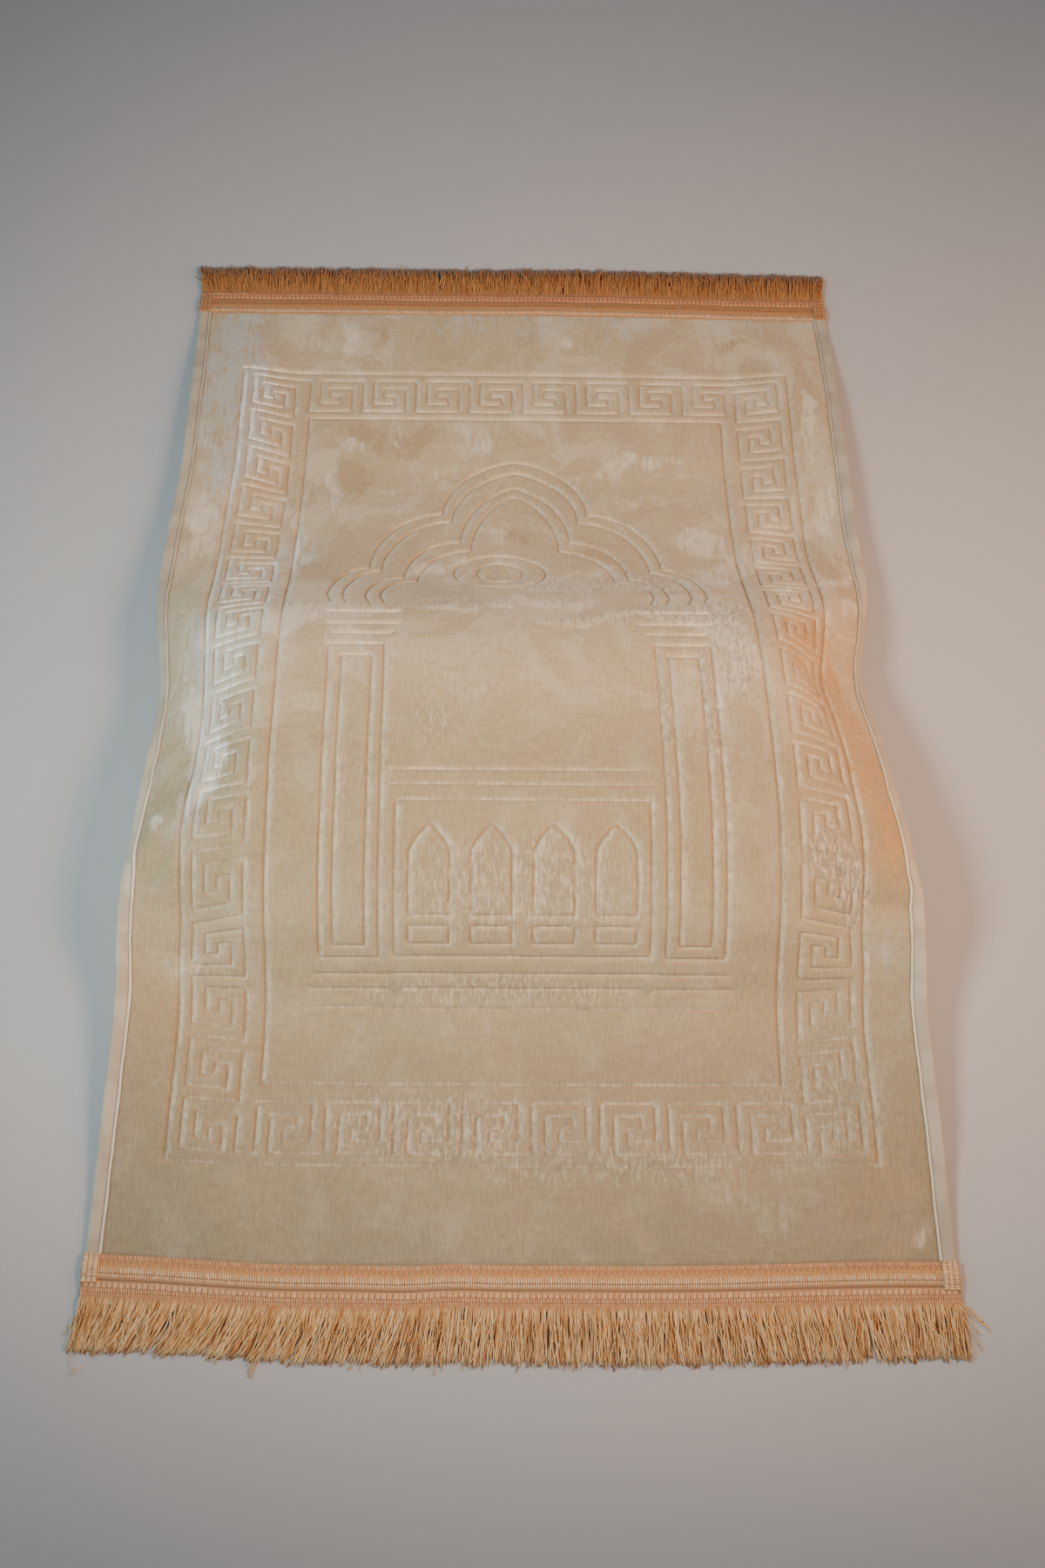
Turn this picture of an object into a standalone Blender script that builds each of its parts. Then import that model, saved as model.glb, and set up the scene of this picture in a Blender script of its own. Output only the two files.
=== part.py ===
"""Prayer rug: embossed velour with bound sides and a woven tape and a cut fringe at each end.

Metres, +Z up.  X runs across the rug, Y from its front end to its back end, and the floor is z = 0.

The rug is drawn flat first, on the cloth.  A pattern point is (across, along): across from the
centre line, along from the front tape's inner edge.  place() puts a pattern point in space on the
folded rug, so every piece follows the same folds.
"""

import math
from bisect import bisect_right
from collections import namedtuple

import bmesh
import bpy
from mathutils import Vector
from mathutils.geometry import delaunay_2d_cdt

MM = 0.001
GAP = 0.3 * MM                      # between pieces that touch on the real rug

# The cloth, as it is cut and sewn
RUG_WIDTH = 700 * MM                # over both bindings
SHOWN_LENGTH = 1180 * MM            # of velour, between the two tapes, along the cloth
TAPE_LAP = 23 * MM                  # of panel under each tape
PILE_THICKNESS = 5.0 * MM           # backing and pile
BINDING_WIDTH = 10.7 * MM
BINDING_THICKNESS = 0.8 * MM
SIDE_MARGIN_UNDER = 1.1 * MM        # the flattened margin inside a binding, from this level
SIDE_MARGIN_TOP = 3.9 * MM          # to this one
END_MARGIN_TOP = 3.0 * MM           # the flattened margin under a tape
PILE_EDGE = 2.0 * MM                # width over which the pile drops to a margin

# The folds.  A row is a section across the rug: how high its underside stands off the floor in the
# middle, at each shoulder (the line of the outermost frame) and at each edge, and how far it has
# slipped to the right, in millimetres.
Section = namedtuple(
    "Section", "along middle left_shoulder left_edge right_shoulder right_edge sway")
SECTIONS = (
    Section(0, 0, 0, 0, 0, 0, 2),
    Section(60, 0, 0, 3, 1, 5, 2),
    Section(130, 0, 5, 13, 10, 18, 2),
    Section(200, 1, 12, 24, 15, 28, 2),
    Section(240, 12, 20, 35, 22, 36, 2),
    Section(280, 40, 35, 47, 35, 45, 2),
    Section(320, 73, 57, 59, 56, 57, 2),
    Section(360, 97, 82, 67, 81, 66, 2),
    Section(405, 112, 98, 71, 95, 69, 2),
    Section(470, 119, 90, 69, 92, 63, 1),
    Section(550, 114, 83, 56, 76, 50, 0),
    Section(590, 110, 82, 51, 68, 42, -1),
    Section(635, 99, 79, 50, 66, 31, -2),
    Section(690, 75, 67, 47, 62, 29, -3),
    Section(750, 45, 43, 38, 40, 24, -4),
    Section(800, 27, 29, 30, 20, 21, -5),
    Section(860, 12, 23, 23, 8, 19, -5),
    Section(940, 0, 20, 19, 8, 16, -5),
    Section(1050, 0, 12, 13, 8, 9, -5),
    Section(1120, 0, 5, 6, 4, 3, -6),
    Section(1180, 0, 0, 0, 0, 0, -8),
)
MIDDLE_HALF = 225 * MM              # the middle of a section is level out to here
SHOULDER = 296 * MM
# Corners that lie off the square: which side and end (0 front, 1 back), how far each is drawn
# towards the back, and over how much of the end that builds up, in millimetres
Draw = namedtuple("Draw", "side end back across")
DRAWS = (
    Draw(-1, 0, 8, 170),
    Draw(1, 0, 5, 300),
    Draw(1, 1, -5, 350),
)
DRAW_ALONG = 250 * MM               # each dies away over this much of the side

# The pressed-in design
GROOVE_WIDTH = 4.6 * MM
GROOVE_DEPTH = 1.7 * MM
FRAME_WIDTH = 5.6 * MM
FRAME_DEPTH = 2.0 * MM
KEY_ACROSS = 11.5 * MM              # unit of the key border across the rug
KEY_ALONG = 11.61 * MM              # and along it
KEYS_PER_SIDE = 17                  # corner keys included
KEYS_PER_END = 8                    # between the corner keys
KEY_HALF_WIDTH = 284.0 * MM         # outermost line of the key border
KEY_FRONT = 99.5 * MM
OUTER_FRAME = (295 * MM, 89 * MM, 1086 * MM)     # half width, front, back
INNER_FRAME = (220.5 * MM, 163.5 * MM, 1018 * MM)
# One key, in units: (along the border, across it from the line it starts on)
KEY_PATH = ((0, 0), (0, 4), (4, 4), (4, 1), (2, 1), (2, 2), (3, 2), (3, 3), (1, 3), (1, 0))
KEY_PITCH = 5

COLUMN_OUTER = (123.5 * MM, 174.5 * MM, 281 * MM, 597 * MM)        # two sides, foot, head
COLUMN_INNER = (135.0 * MM, 162.5 * MM, 293 * MM, 582.5 * MM)
CAPITAL_LINES = ((612.5, 118.5, 171.5), (628.5, 115, 173.5), (649.5, 113, 177))    # along, from, to
SIDE_STEPS = ((266, 117.5, 174.5), (252, 115.5, 179.5), (234.5, 109, 185))
MIDDLE_STEPS = ((266.5, 106.5), (252.5, 102.5), (234, 93.5))       # along, half width
LINTEL_LINES = (436, 450.5)
ARCADE = (110 * MM, 282.5 * MM, 421 * MM)          # half width, foot, head
ARCADE_PITCH = 53.5 * MM
ARCADE_DOOR = (17.6 * MM, 321 * MM, 372 * MM, 399 * MM)    # half width, sill, springing, point
DOOR_BEND = 0.36                        # how high the sides stay upright, of the point's rise
ARCADE_PLINTH = (17.6 * MM, 295 * MM, 311.5 * MM)

# The arch over the columns: four nested lines, each of three lobes a side.  A row holds where its
# point stands, and the outer foot of each lobe as (across, along).
ArchLine = namedtuple("ArchLine", "point crown shoulder hip overlap")
ARCH_LINES = (
    ArchLine(954, (73.6, 868.0), (144.0, 764.5), (181.0, 690), 12),
    ArchLine(938, (64.0, 855.0), (132.0, 758.0), (166.5, 688), 14),
    ArchLine(915, (54.6, 818.5), (109.4, 742.0), (144.5, 686), 28),
    ArchLine(900, (44.0, 801.5), (96.0, 731.5), (130.5, 688), 30),
)
ARCH_CURL = (4 * MM, 14 * MM)       # each line ends by curling in and down
PENDANT_CENTRE = (-16 * MM, 754 * MM)
PENDANT_RINGS = ((45 * MM, 38 * MM), (22 * MM, 22 * MM))

# End tapes and fringes.  Both profiles run outwards from the tape's inner edge: (out, level), mm.
TAPE_PROFILE = (
    (0.3, 4.0), (0.8, 5.4), (2.4, 5.4), (3.0, 4.6), (9.6, 4.5), (10.1, 5.1), (13.7, 5.1),
    (14.2, 4.6), (14.7, 5.1), (18.3, 5.1), (18.8, 4.5), (22.6, 4.3), (24.4, 3.4),
)
TAPE_HALF_WIDTH = 350.8 * MM
TAPE_TURN = 13 * MM                 # the turned-down end, which stands prouder
TAPE_TURN_RISE = 1.3 * MM
POCKET_TOP = END_MARGIN_TOP + GAP
HEADING_PROFILE = (
    (24.8, 3.0), (25.5, 3.6), (29.0, 3.6), (29.6, 3.0), (30.4, 3.0), (30.9, 3.8), (33.0, 3.8),
    (33.6, 3.2),
)
LOCKS = 150
LOCKS_PER_FACET = 8                 # of the heading
LOCK_ROOT_HALF = 1.95 * MM          # half width where a lock leaves the heading
LOCK_LENGTH = 44.5 * MM
LOCK_UNEVEN = 3.0 * MM
# Sections of a lock past its root: share of its length, half width and height
LockSection = namedtuple("LockSection", "share half_width height")
LOCK_SECTIONS = (
    LockSection(1.0, 1.6 * MM, 1.6 * MM),
)
SPLAY_LOCKS = 9                     # locks that fan out at each end
SPLAY_LEAN = 0.42

# Mesh steps
FOLD_STEP = 26 * MM
FLAT_STEP = 48 * MM
FOLD_ZONE = (190 * MM, 900 * MM)
LONGEST = 1.5                       # a groove's facets, in steps
CLEARANCE = 5 * MM                  # of a filling point from a groove
SLANT = 0.01                        # of each row of filling points, so that facets run one way
TIE_BREAK = 0.01
EDGE = RUG_WIDTH / 2

# Colours
VELOUR = (0.52, 0.43, 0.31)
BINDING = (0.66, 0.61, 0.50)
TAPE = (0.72, 0.43, 0.24)
FRINGE = (0.70, 0.42, 0.19)


def clear_scene():
    for old in list(bpy.data.objects):
        bpy.data.objects.remove(old, do_unlink=True)


def material(name, colour, roughness):
    """A plain Principled material."""
    made = bpy.data.materials.new(name)
    made.use_nodes = True
    shader = made.node_tree.nodes["Principled BSDF"]
    shader.inputs["Base Color"].default_value = (*colour, 1.0)
    shader.inputs["Roughness"].default_value = roughness
    shader.inputs["Metallic"].default_value = 0.0
    return made


# Folds ------------------------------------------------------------------------------------------

class Curve:
    """A smooth curve through points that never overshoots them, level or free at its ends."""

    def __init__(self, places, values, free_ends=False):
        self.places = places
        self.values = values
        self.slopes = self.find_slopes(free_ends)

    def find_slopes(self, free_ends):
        steps = [b - a for a, b in zip(self.places, self.places[1:])]
        rises = [(b - a) / step for a, b, step in zip(self.values, self.values[1:], steps)]
        slopes = [0.0]
        for before, after, rise_in, rise_out in zip(steps, steps[1:], rises, rises[1:]):
            if rise_in * rise_out <= 0.0:
                slopes.append(0.0)
                continue
            near, far = 2 * after + before, after + 2 * before
            slopes.append((near + far) / (near / rise_in + far / rise_out))
        slopes.append(0.0)
        if free_ends:
            slopes[0] = 1.5 * rises[0] - 0.5 * slopes[1]
            slopes[-1] = 1.5 * rises[-1] - 0.5 * slopes[-2]
        return slopes

    def at(self, place):
        if place <= self.places[0]:
            return self.values[0]
        if place >= self.places[-1]:
            return self.values[-1]
        row = bisect_right(self.places, place) - 1
        span = self.places[row + 1] - self.places[row]
        t = (place - self.places[row]) / span
        return ((1 + 2 * t) * (1 - t) ** 2 * self.values[row]
                + t * (1 - t) ** 2 * span * self.slopes[row]
                + t * t * (3 - 2 * t) * self.values[row + 1]
                + t * t * (t - 1) * span * self.slopes[row + 1])


def fold_curves():
    """A curve along the rug for each column of the table of sections."""
    places = [row.along * MM for row in SECTIONS]
    return {name: Curve(places, [getattr(row, name) * MM for row in SECTIONS])
            for name in Section._fields[1:]}


CURVES = fold_curves()


def section_across(along):
    """The curve across the rug at one section."""
    middle = CURVES["middle"].at(along)
    return Curve((-EDGE, -SHOULDER, -MIDDLE_HALF, MIDDLE_HALF, SHOULDER, EDGE),
                 (CURVES["left_edge"].at(along), CURVES["left_shoulder"].at(along), middle,
                  middle, CURVES["right_shoulder"].at(along), CURVES["right_edge"].at(along)),
                 free_ends=True)


WALK = 4 * MM                       # step for measuring length on the cloth
ACROSS_STEPS = 60


def walk_along():
    """Where each step along the middle of the cloth stands on the floor plan."""
    plan = [0.0]
    for step in range(round(SHOWN_LENGTH / WALK)):
        rise = CURVES["middle"].at((step + 1) * WALK) - CURVES["middle"].at(step * WALK)
        plan.append(plan[-1] + math.sqrt(WALK * WALK - rise * rise))
    return plan


PLAN = walk_along()
LAID_LENGTH = PLAN[-1]              # between the tapes, on the floor


def plan_along(along):
    """Distance on the floor from the front tape's inner edge."""
    if along <= 0.0:
        return along
    if along >= SHOWN_LENGTH:
        return LAID_LENGTH + along - SHOWN_LENGTH
    step = min(int(along / WALK), len(PLAN) - 2)
    share = along / WALK - step
    return PLAN[step] * (1 - share) + PLAN[step + 1] * share


ACROSS_TABLES = {}


def across_table(along):
    """Distance from the centre line and height, in even steps of cloth, at one section."""
    key = round(along / (0.1 * MM))
    if key not in ACROSS_TABLES:
        curve = section_across(along)
        width = EDGE / ACROSS_STEPS
        table = {}
        for side in (-1, 1):
            out = 0.0
            low = curve.at(0.0)
            rows = [(0.0, low)]
            for step in range(1, ACROSS_STEPS + 2):
                height = curve.at(side * step * width)
                out += math.sqrt(width * width - (height - low) ** 2)
                low = height
                rows.append((out, height))
            table[side] = rows
        ACROSS_TABLES[key] = table
    return ACROSS_TABLES[key]


def smooth_step(share):
    share = min(max(share, 0.0), 1.0)
    return share * share * (3 - 2 * share)


def drawn_back(across, along):
    """How far a point is moved towards the back by the corners near it."""
    drawn = 0.0
    for row in DRAWS:
        reach = smooth_step((row.side * across - EDGE) / (row.across * MM) + 1)
        past = abs(along - row.end * SHOWN_LENGTH) / DRAW_ALONG
        outside = (along - row.end * SHOWN_LENGTH) * (2 * row.end - 1) > 0
        drawn += row.back * MM * reach * (1.0 if outside else 1 - smooth_step(past))
    return drawn


def underside(across, along):
    """The point of the cloth's underside at a pattern point."""
    side = -1 if across < 0 else 1
    rows = across_table(min(max(along, 0.0), SHOWN_LENGTH))[side]
    steps = abs(across) / EDGE * ACROSS_STEPS
    step = min(int(steps), len(rows) - 2)
    share = steps - step
    out = rows[step][0] + share * (rows[step + 1][0] - rows[step][0])
    height = rows[step][1] + share * (rows[step + 1][1] - rows[step][1])
    out = side * out + CURVES["sway"].at(along)
    return Vector((out, plan_along(along) - LAID_LENGTH / 2 + drawn_back(across, along), height))


def place(across, along, level):
    """A pattern point in space, at a level above the cloth's underside."""
    probe = 3 * MM
    here = underside(across, along)
    slope_across = underside(across + probe, along) - underside(across - probe, along)
    slope_along = underside(across, along + probe) - underside(across, along - probe)
    up = slope_across.cross(slope_along).normalized()
    return here + up * level


# The pressed-in design, as lists of pattern points ----------------------------------------------

Groove = namedtuple("Groove", "points closed width depth")


def thin_groove(points, closed=False):
    return Groove(points, closed, GROOVE_WIDTH, GROOVE_DEPTH)


def rectangle(low_across, high_across, low_along, high_along):
    return [(low_across, low_along), (high_across, low_along), (high_across, high_along),
            (low_across, high_along)]


def key_border():
    """One closed line: up the left side, along both ends and down the right side."""
    inner = KEY_HALF_WIDTH - 4 * KEY_ACROSS
    back = KEY_FRONT + (KEYS_PER_SIDE * KEY_PITCH - 1) * KEY_ALONG
    row_start = inner - KEYS_PER_END * KEY_PITCH * KEY_ACROSS      # the rows end at the right side
    left = []
    for key in range(KEYS_PER_SIDE):
        for along, out in KEY_PATH:
            left.append((-inner - out * KEY_ACROSS, back - (key * KEY_PITCH + along) * KEY_ALONG))
    left.append((-inner, KEY_FRONT))
    right = [(-across, along) for across, along in reversed(left)]
    front = []
    for key in range(KEYS_PER_END):
        for along, out in KEY_PATH:
            front.append((row_start + (key * KEY_PITCH + along) * KEY_ACROSS,
                          KEY_FRONT + out * KEY_ALONG))
    rear = [(across, back - (along - KEY_FRONT)) for across, along in reversed(front)]
    return thin_groove(left + front + right + rear, closed=True)


def frames():
    return [Groove(rectangle(-half, half, front, back), True, FRAME_WIDTH, FRAME_DEPTH)
            for half, front, back in (OUTER_FRAME, INNER_FRAME)]


def level_line(along, start, end):
    return thin_groove([(start * MM, along * MM), (end * MM, along * MM)])


def columns():
    """The two columns with their capitals and the steps they stand on."""
    grooves = []
    for side in (-1, 1):
        for near, far, foot, head in (COLUMN_OUTER, COLUMN_INNER):
            grooves.append(thin_groove(rectangle(side * near, side * far, foot, head), True))
        for along, near, far in CAPITAL_LINES + SIDE_STEPS:
            grooves.append(level_line(along, side * near, side * far))
    return grooves


def pointed_arch(centre, half, sill, springing, point, steps=4):
    """Up one side, over a point made by two easy curves, and down the other side."""
    bend = springing + DOOR_BEND * (point - springing)
    left = []
    for step in range(steps + 1):
        share = step / steps
        left.append((centre - half * (1 - share ** 2),
                     springing * (1 - share) ** 2 + 2 * bend * share * (1 - share)
                     + point * share ** 2))
    right = [(2 * centre - across, along) for across, along in reversed(left[:-1])]
    return [(centre - half, sill)] + left + right + [(centre + half, sill)]


def arcade():
    """The frame between the columns, its four doors and their plinths, lintel and steps."""
    half, foot, head = ARCADE
    grooves = [thin_groove(rectangle(-half, half, foot, head), True)]
    for along in LINTEL_LINES:
        grooves.append(level_line(along, -half / MM, half / MM))
    for along, reach in MIDDLE_STEPS:
        grooves.append(level_line(along, -reach, reach))
    for number in range(4):
        centre = (number - 1.5) * ARCADE_PITCH
        door, sill, springing, point = ARCADE_DOOR
        grooves.append(thin_groove(pointed_arch(centre, door, sill, springing, point), True))
        plinth, low, high = ARCADE_PLINTH
        grooves.append(thin_groove(rectangle(centre - plinth, centre + plinth, low, high), True))
    return grooves


def lobe(start, end, steps):
    """A quarter of an ellipse that leaves start level and reaches end upright."""
    points = []
    for step in range(1, steps + 1):
        turn = step / steps * math.pi / 2
        points.append((start[0] + (end[0] - start[0]) * math.sin(turn),
                       end[1] + (start[1] - end[1]) * math.cos(turn)))
    return points


def crown(point, foot, overlap, steps):
    """From the arch's point down to the foot of its top lobe."""
    reach = foot[0] + overlap
    start = math.acos(overlap / reach)
    rise = (point - foot[1]) / math.sin(start)
    turns = [start * (1 - step / steps) for step in range(1, steps + 1)]
    return [(reach * math.cos(turn) - overlap, foot[1] + rise * math.sin(turn)) for turn in turns]


def arch_lines():
    grooves = []
    for row in ARCH_LINES:
        point = row.point * MM
        feet = [(across * MM, along * MM) for across, along in (row.crown, row.shoulder, row.hip)]
        right = crown(point, feet[0], row.overlap * MM, 7)
        right += lobe(feet[0], feet[1], 6) + lobe(feet[1], feet[2], 5)
        right.append((feet[2][0] - ARCH_CURL[0], feet[2][1] - ARCH_CURL[1]))
        left = [(-across, along) for across, along in reversed(right)]
        grooves.append(thin_groove(left + [(0.0, point)] + right))
    return grooves


def pendant(steps=14):
    """Two rings hanging under the arch."""
    grooves = []
    for half, height in PENDANT_RINGS:
        turns = [2 * math.pi * step / steps for step in range(steps)]
        ring = [(PENDANT_CENTRE[0] + half * math.cos(turn),
                 PENDANT_CENTRE[1] + height * math.sin(turn)) for turn in turns]
        grooves.append(thin_groove(ring, True))
    return grooves


def design():
    return [key_border()] + frames() + columns() + arcade() + arch_lines() + pendant()


# The velour panel -------------------------------------------------------------------------------

def stations():
    """Places along the cloth where it is cut into facets, closer over the folds."""
    places = [0.0, PILE_EDGE]
    while places[-1] < SHOWN_LENGTH - FLAT_STEP - PILE_EDGE:
        inside = FOLD_ZONE[0] <= places[-1] <= FOLD_ZONE[1]
        places.append(places[-1] + (FOLD_STEP if inside else FLAT_STEP))
    return places + [SHOWN_LENGTH - PILE_EDGE, SHOWN_LENGTH]


PANEL_EDGE = EDGE - BINDING_THICKNESS
PILE_END = EDGE - BINDING_WIDTH - GAP
UNDER_END = PILE_END - PILE_EDGE
COLUMNS = (0.0, 60 * MM, 120 * MM, 175 * MM, 208 * MM, 232 * MM, 256 * MM, 279 * MM, SHOULDER,
           312 * MM, 326 * MM)
UNDER_COLUMNS = (0.0, 110 * MM, 190 * MM, 225 * MM, 256 * MM, SHOULDER, 320 * MM)


def top_level(across, along):
    """Height of the velour over its underside, without the design."""
    level = PILE_THICKNESS
    if abs(across) > PILE_END - PILE_EDGE / 2:
        level = SIDE_MARGIN_TOP
    if along < PILE_EDGE / 2 or along > SHOWN_LENGTH - PILE_EDGE / 2:
        level = min(level, END_MARGIN_TOP)
    return level


def under_level(across, along):
    return SIDE_MARGIN_UNDER if abs(across) > UNDER_END + PILE_EDGE / 2 else 0.0


def divided(points, closed):
    """The same line with points added where it is long, more over the folds."""
    ends = points[1:] + points[:1] if closed else points[1:]
    made = []
    for start, end in zip(points, ends):
        length = math.dist(start, end)
        inside = FOLD_ZONE[0] < (start[1] + end[1]) / 2 < FOLD_ZONE[1]
        parts = max(1, math.ceil(length / (FOLD_STEP if inside else FLAT_STEP) / LONGEST))
        for part in range(parts):
            share = part / parts
            made.append((start[0] + (end[0] - start[0]) * share,
                         start[1] + (end[1] - start[1]) * share))
    return made if closed else made + [points[-1]]


def shifted(points, closed, shift):
    """The line moved sideways, with square corners."""
    count = len(points)
    made = []
    for number, here in enumerate(points):
        normals = []
        for start, end in ((number - 1, number), (number, number + 1)):
            if not closed and (start < 0 or end >= count):
                continue
            a, b = Vector(points[start % count]), Vector(points[end % count])
            step = (b - a).normalized()
            normals.append(Vector((-step.y, step.x)))
        mean = sum(normals, Vector((0.0, 0.0))) / len(normals)
        move = mean * (shift / mean.length_squared)
        made.append((here[0] + move.x, here[1] + move.y))
    return made


class Sheet:
    """Pattern points with their levels and the lines that must be kept between them."""

    def __init__(self, level):
        self.level = level
        self.points = []
        self.levels = []
        self.lines = []

    def add(self, points, closed, level=None):
        first = len(self.points)
        for across, along in points:
            self.points.append((across, along))
            self.levels.append(self.level(across, along) if level is None else level)
        self.lines += [(first + i, first + i + 1) for i in range(len(points) - 1)]
        if closed:
            self.lines.append((first + len(points) - 1, first))
        return list(range(first, first + len(points)))

    def groove(self, groove):
        points = divided(groove.points, groove.closed)
        rims = [shifted(points, groove.closed, side * groove.width / 2) for side in (-1, 1)]
        rows = [self.add(rims[0], groove.closed),
                self.add(points, groove.closed, PILE_THICKNESS - groove.depth),
                self.add(rims[1], groove.closed)]
        if not groove.closed:
            for end in (0, -1):
                self.lines += [(rows[0][end], rows[1][end]), (rows[1][end], rows[2][end])]

    def triangles(self):
        """Fill the outline, and return the points in space and the triangles."""
        found = delaunay_2d_cdt([Vector(p) for p in self.points], self.lines, [], 0, 1e-7, True)
        places, _, faces, origins = found[:4]
        spots = []
        for spot, origin in zip(places, origins):
            level = self.levels[origin[0]] if origin else self.level(spot.x, spot.y)
            spots.append(place(spot.x, spot.y, level))
        return [tuple(p) for p in places], spots, faces


def mirrored(columns):
    """Places on both sides of the centre line, from left to right."""
    return sorted({side * column for side in (-1, 1) for column in columns})


def outline():
    """The panel's cut edge, anticlockwise, with the same points on both faces."""
    ends = mirrored(COLUMNS + (UNDER_END, PILE_END))
    rungs = stations()
    front, back = -TAPE_LAP, SHOWN_LENGTH + TAPE_LAP
    loop = [(-PANEL_EDGE, front)] + [(across, front) for across in ends] + [(PANEL_EDGE, front)]
    loop += [(PANEL_EDGE, along) for along in rungs]
    loop += [(PANEL_EDGE, back)] + [(across, back) for across in reversed(ends)]
    loop += [(-PANEL_EDGE, back)]
    loop += [(-PANEL_EDGE, along) for along in reversed(rungs)]
    return loop


def margin_lines(sheet, pile_line, margin_line):
    """Lines along the sides where the level drops, and the facets of the margins beyond them.

    A margin is split on the same slants as the binding that it lies in, so that they stay apart.
    """
    rungs = stations()
    for side in (-1, 1):
        for across in (pile_line, margin_line):
            ends = [-TAPE_LAP] + rungs + [SHOWN_LENGTH + TAPE_LAP]
            sheet.add([(side * across, along) for along in ends], False)
        for near, far in zip(rungs, rungs[1:]):
            sheet.add([(side * margin_line, near), (side * PANEL_EDGE, far)], False)


def distance_to(point, start, end):
    span = (end[0] - start[0], end[1] - start[1])
    size = span[0] ** 2 + span[1] ** 2
    share = ((point[0] - start[0]) * span[0] + (point[1] - start[1]) * span[1]) / size
    share = min(max(share, 0.0), 1.0)
    return math.dist(point, (start[0] + share * span[0], start[1] + share * span[1]))


def filling_points(grooves):
    """Points between the grooves, so that the facets follow the folds."""
    pieces = []
    for groove in grooves:
        points = groove.points
        pieces += zip(points, points[1:] + (points[:1] if groove.closed else []))
    points = []
    for along in stations()[2:-2]:
        near = [piece for piece in pieces
                if min(piece[0][1], piece[1][1]) - CLEARANCE < along
                < max(piece[0][1], piece[1][1]) + CLEARANCE]
        for across in mirrored(COLUMNS):
            spot = (across, along + SLANT * abs(across))
            if all(distance_to(spot, *piece) > CLEARANCE for piece in near):
                points.append(spot)
    return points


def velour_panel(look):
    loop = outline()
    grooves = design()
    top = Sheet(top_level)
    rim_top = top.add(loop, True)
    margin_lines(top, PILE_END - PILE_EDGE, PILE_END)
    for along in (0.0, PILE_EDGE, SHOWN_LENGTH - PILE_EDGE, SHOWN_LENGTH):
        reach = mirrored(COLUMNS + (PILE_END - PILE_EDGE, PILE_END, PANEL_EDGE))
        top.add([(across, along) for across in reach], False)
    for groove in grooves:
        top.groove(groove)
    for spot in filling_points(grooves):
        top.add([spot], False)
    under = Sheet(under_level)
    rim_under = under.add(loop, True)
    margin_lines(under, UNDER_END, UNDER_END + PILE_EDGE)
    for along in stations()[2:-2]:
        for across in mirrored(UNDER_COLUMNS):
            under.add([(across, along + SLANT * abs(across))], False)
    mesh = bmesh.new()
    rims = []
    for sheet, flip in ((top, False), (under, True)):
        flat, spots, faces = sheet.triangles()
        verts = [mesh.verts.new(spot) for spot in spots]
        for face in faces:
            mesh.faces.new([verts[i] for i in (reversed(face) if flip else face)])
        finder = {(round(p[0] / (0.01 * MM)), round(p[1] / (0.01 * MM))): vert
                  for p, vert in zip(flat, verts)}
        rims.append([finder[(round(p[0] / (0.01 * MM)), round(p[1] / (0.01 * MM)))]
                     for p in loop])
    for i in range(len(loop)):
        j = (i + 1) % len(loop)
        mesh.faces.new([rims[1][i], rims[1][j], rims[0][j]])
        mesh.faces.new([rims[1][i], rims[0][j], rims[0][i]])
    return finish("velour_panel", mesh, look, 40)


# Bindings, tapes and fringes --------------------------------------------------------------------

def finish(name, mesh, look, sharp_degrees):
    """Turn a bmesh into the named object."""
    bmesh.ops.recalc_face_normals(mesh, faces=mesh.faces)
    data = bpy.data.meshes.new(name)
    mesh.to_mesh(data)
    mesh.free()
    data.materials.append(look)
    data.shade_smooth()
    data.set_sharp_from_angle(angle=math.radians(sharp_degrees))
    made = bpy.data.objects.new(name, data)
    bpy.context.scene.collection.objects.link(made)
    return made


def sweep(mesh, rings, reach=None):
    """Join rings of points into a tube and close both ends.

    With the reach of each point of a ring, a side is two facets that meet on the line from its
    nearer point on one ring to its farther point on the next.
    """
    loops = [[mesh.verts.new(point) for point in ring] for ring in rings]
    for near, far in zip(loops, loops[1:]):
        for i in range(len(near)):
            j = (i + 1) % len(near)
            if reach is None:
                mesh.faces.new([near[i], near[j], far[j], far[i]])
            elif reach[i] <= reach[j]:
                mesh.faces.new([near[i], near[j], far[j]])
                mesh.faces.new([near[i], far[j], far[i]])
            else:
                mesh.faces.new([near[i], near[j], far[i]])
                mesh.faces.new([near[j], far[j], far[i]])
    mesh.faces.new(loops[0])
    mesh.faces.new(list(reversed(loops[-1])))


def side_binding(side, look):
    """A strip folded round the long edge, with a raised stitched line on its inner side."""
    inner = EDGE - BINDING_WIDTH
    fold = EDGE - BINDING_THICKNESS + GAP
    slot_low = SIDE_MARGIN_UNDER - GAP
    slot_top = SIDE_MARGIN_TOP + GAP
    top = slot_top + BINDING_THICKNESS
    profile = (
        (inner, 0.0), (EDGE, 0.0), (EDGE, top - 1.0 * MM), (EDGE - 0.9 * MM, top),
        (inner + 2.2 * MM, top), (inner + 1.1 * MM, top + 0.9 * MM), (inner, top),
        (inner, slot_top), (fold, slot_top), (fold, slot_low), (inner, slot_low),
    )
    mesh = bmesh.new()
    rungs = stations()
    rungs[0] = GAP
    rungs[-1] = SHOWN_LENGTH - GAP
    rings = [[place(side * across, along, level) for across, level in profile]
             for along in rungs]
    # The level only breaks ties, so that the fold is split as the panel's edge in it is
    sweep(mesh, rings, [across + side * TIE_BREAK * level for across, level in profile])
    name = "side_binding_left" if side < 0 else "side_binding_right"
    return finish(name, mesh, look, 50)


def beyond(end, out):
    """Along for a distance out from a tape's inner edge: end is -1 at the front, 1 at the back."""
    return -out if end < 0 else SHOWN_LENGTH + out


def end_columns():
    """Places across an end, closer where the front left corner is drawn back."""
    return [place * MM for place in (-320, -290, -260, -230, -200, -60, 60, 130, 200, 260, 320)]


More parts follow.
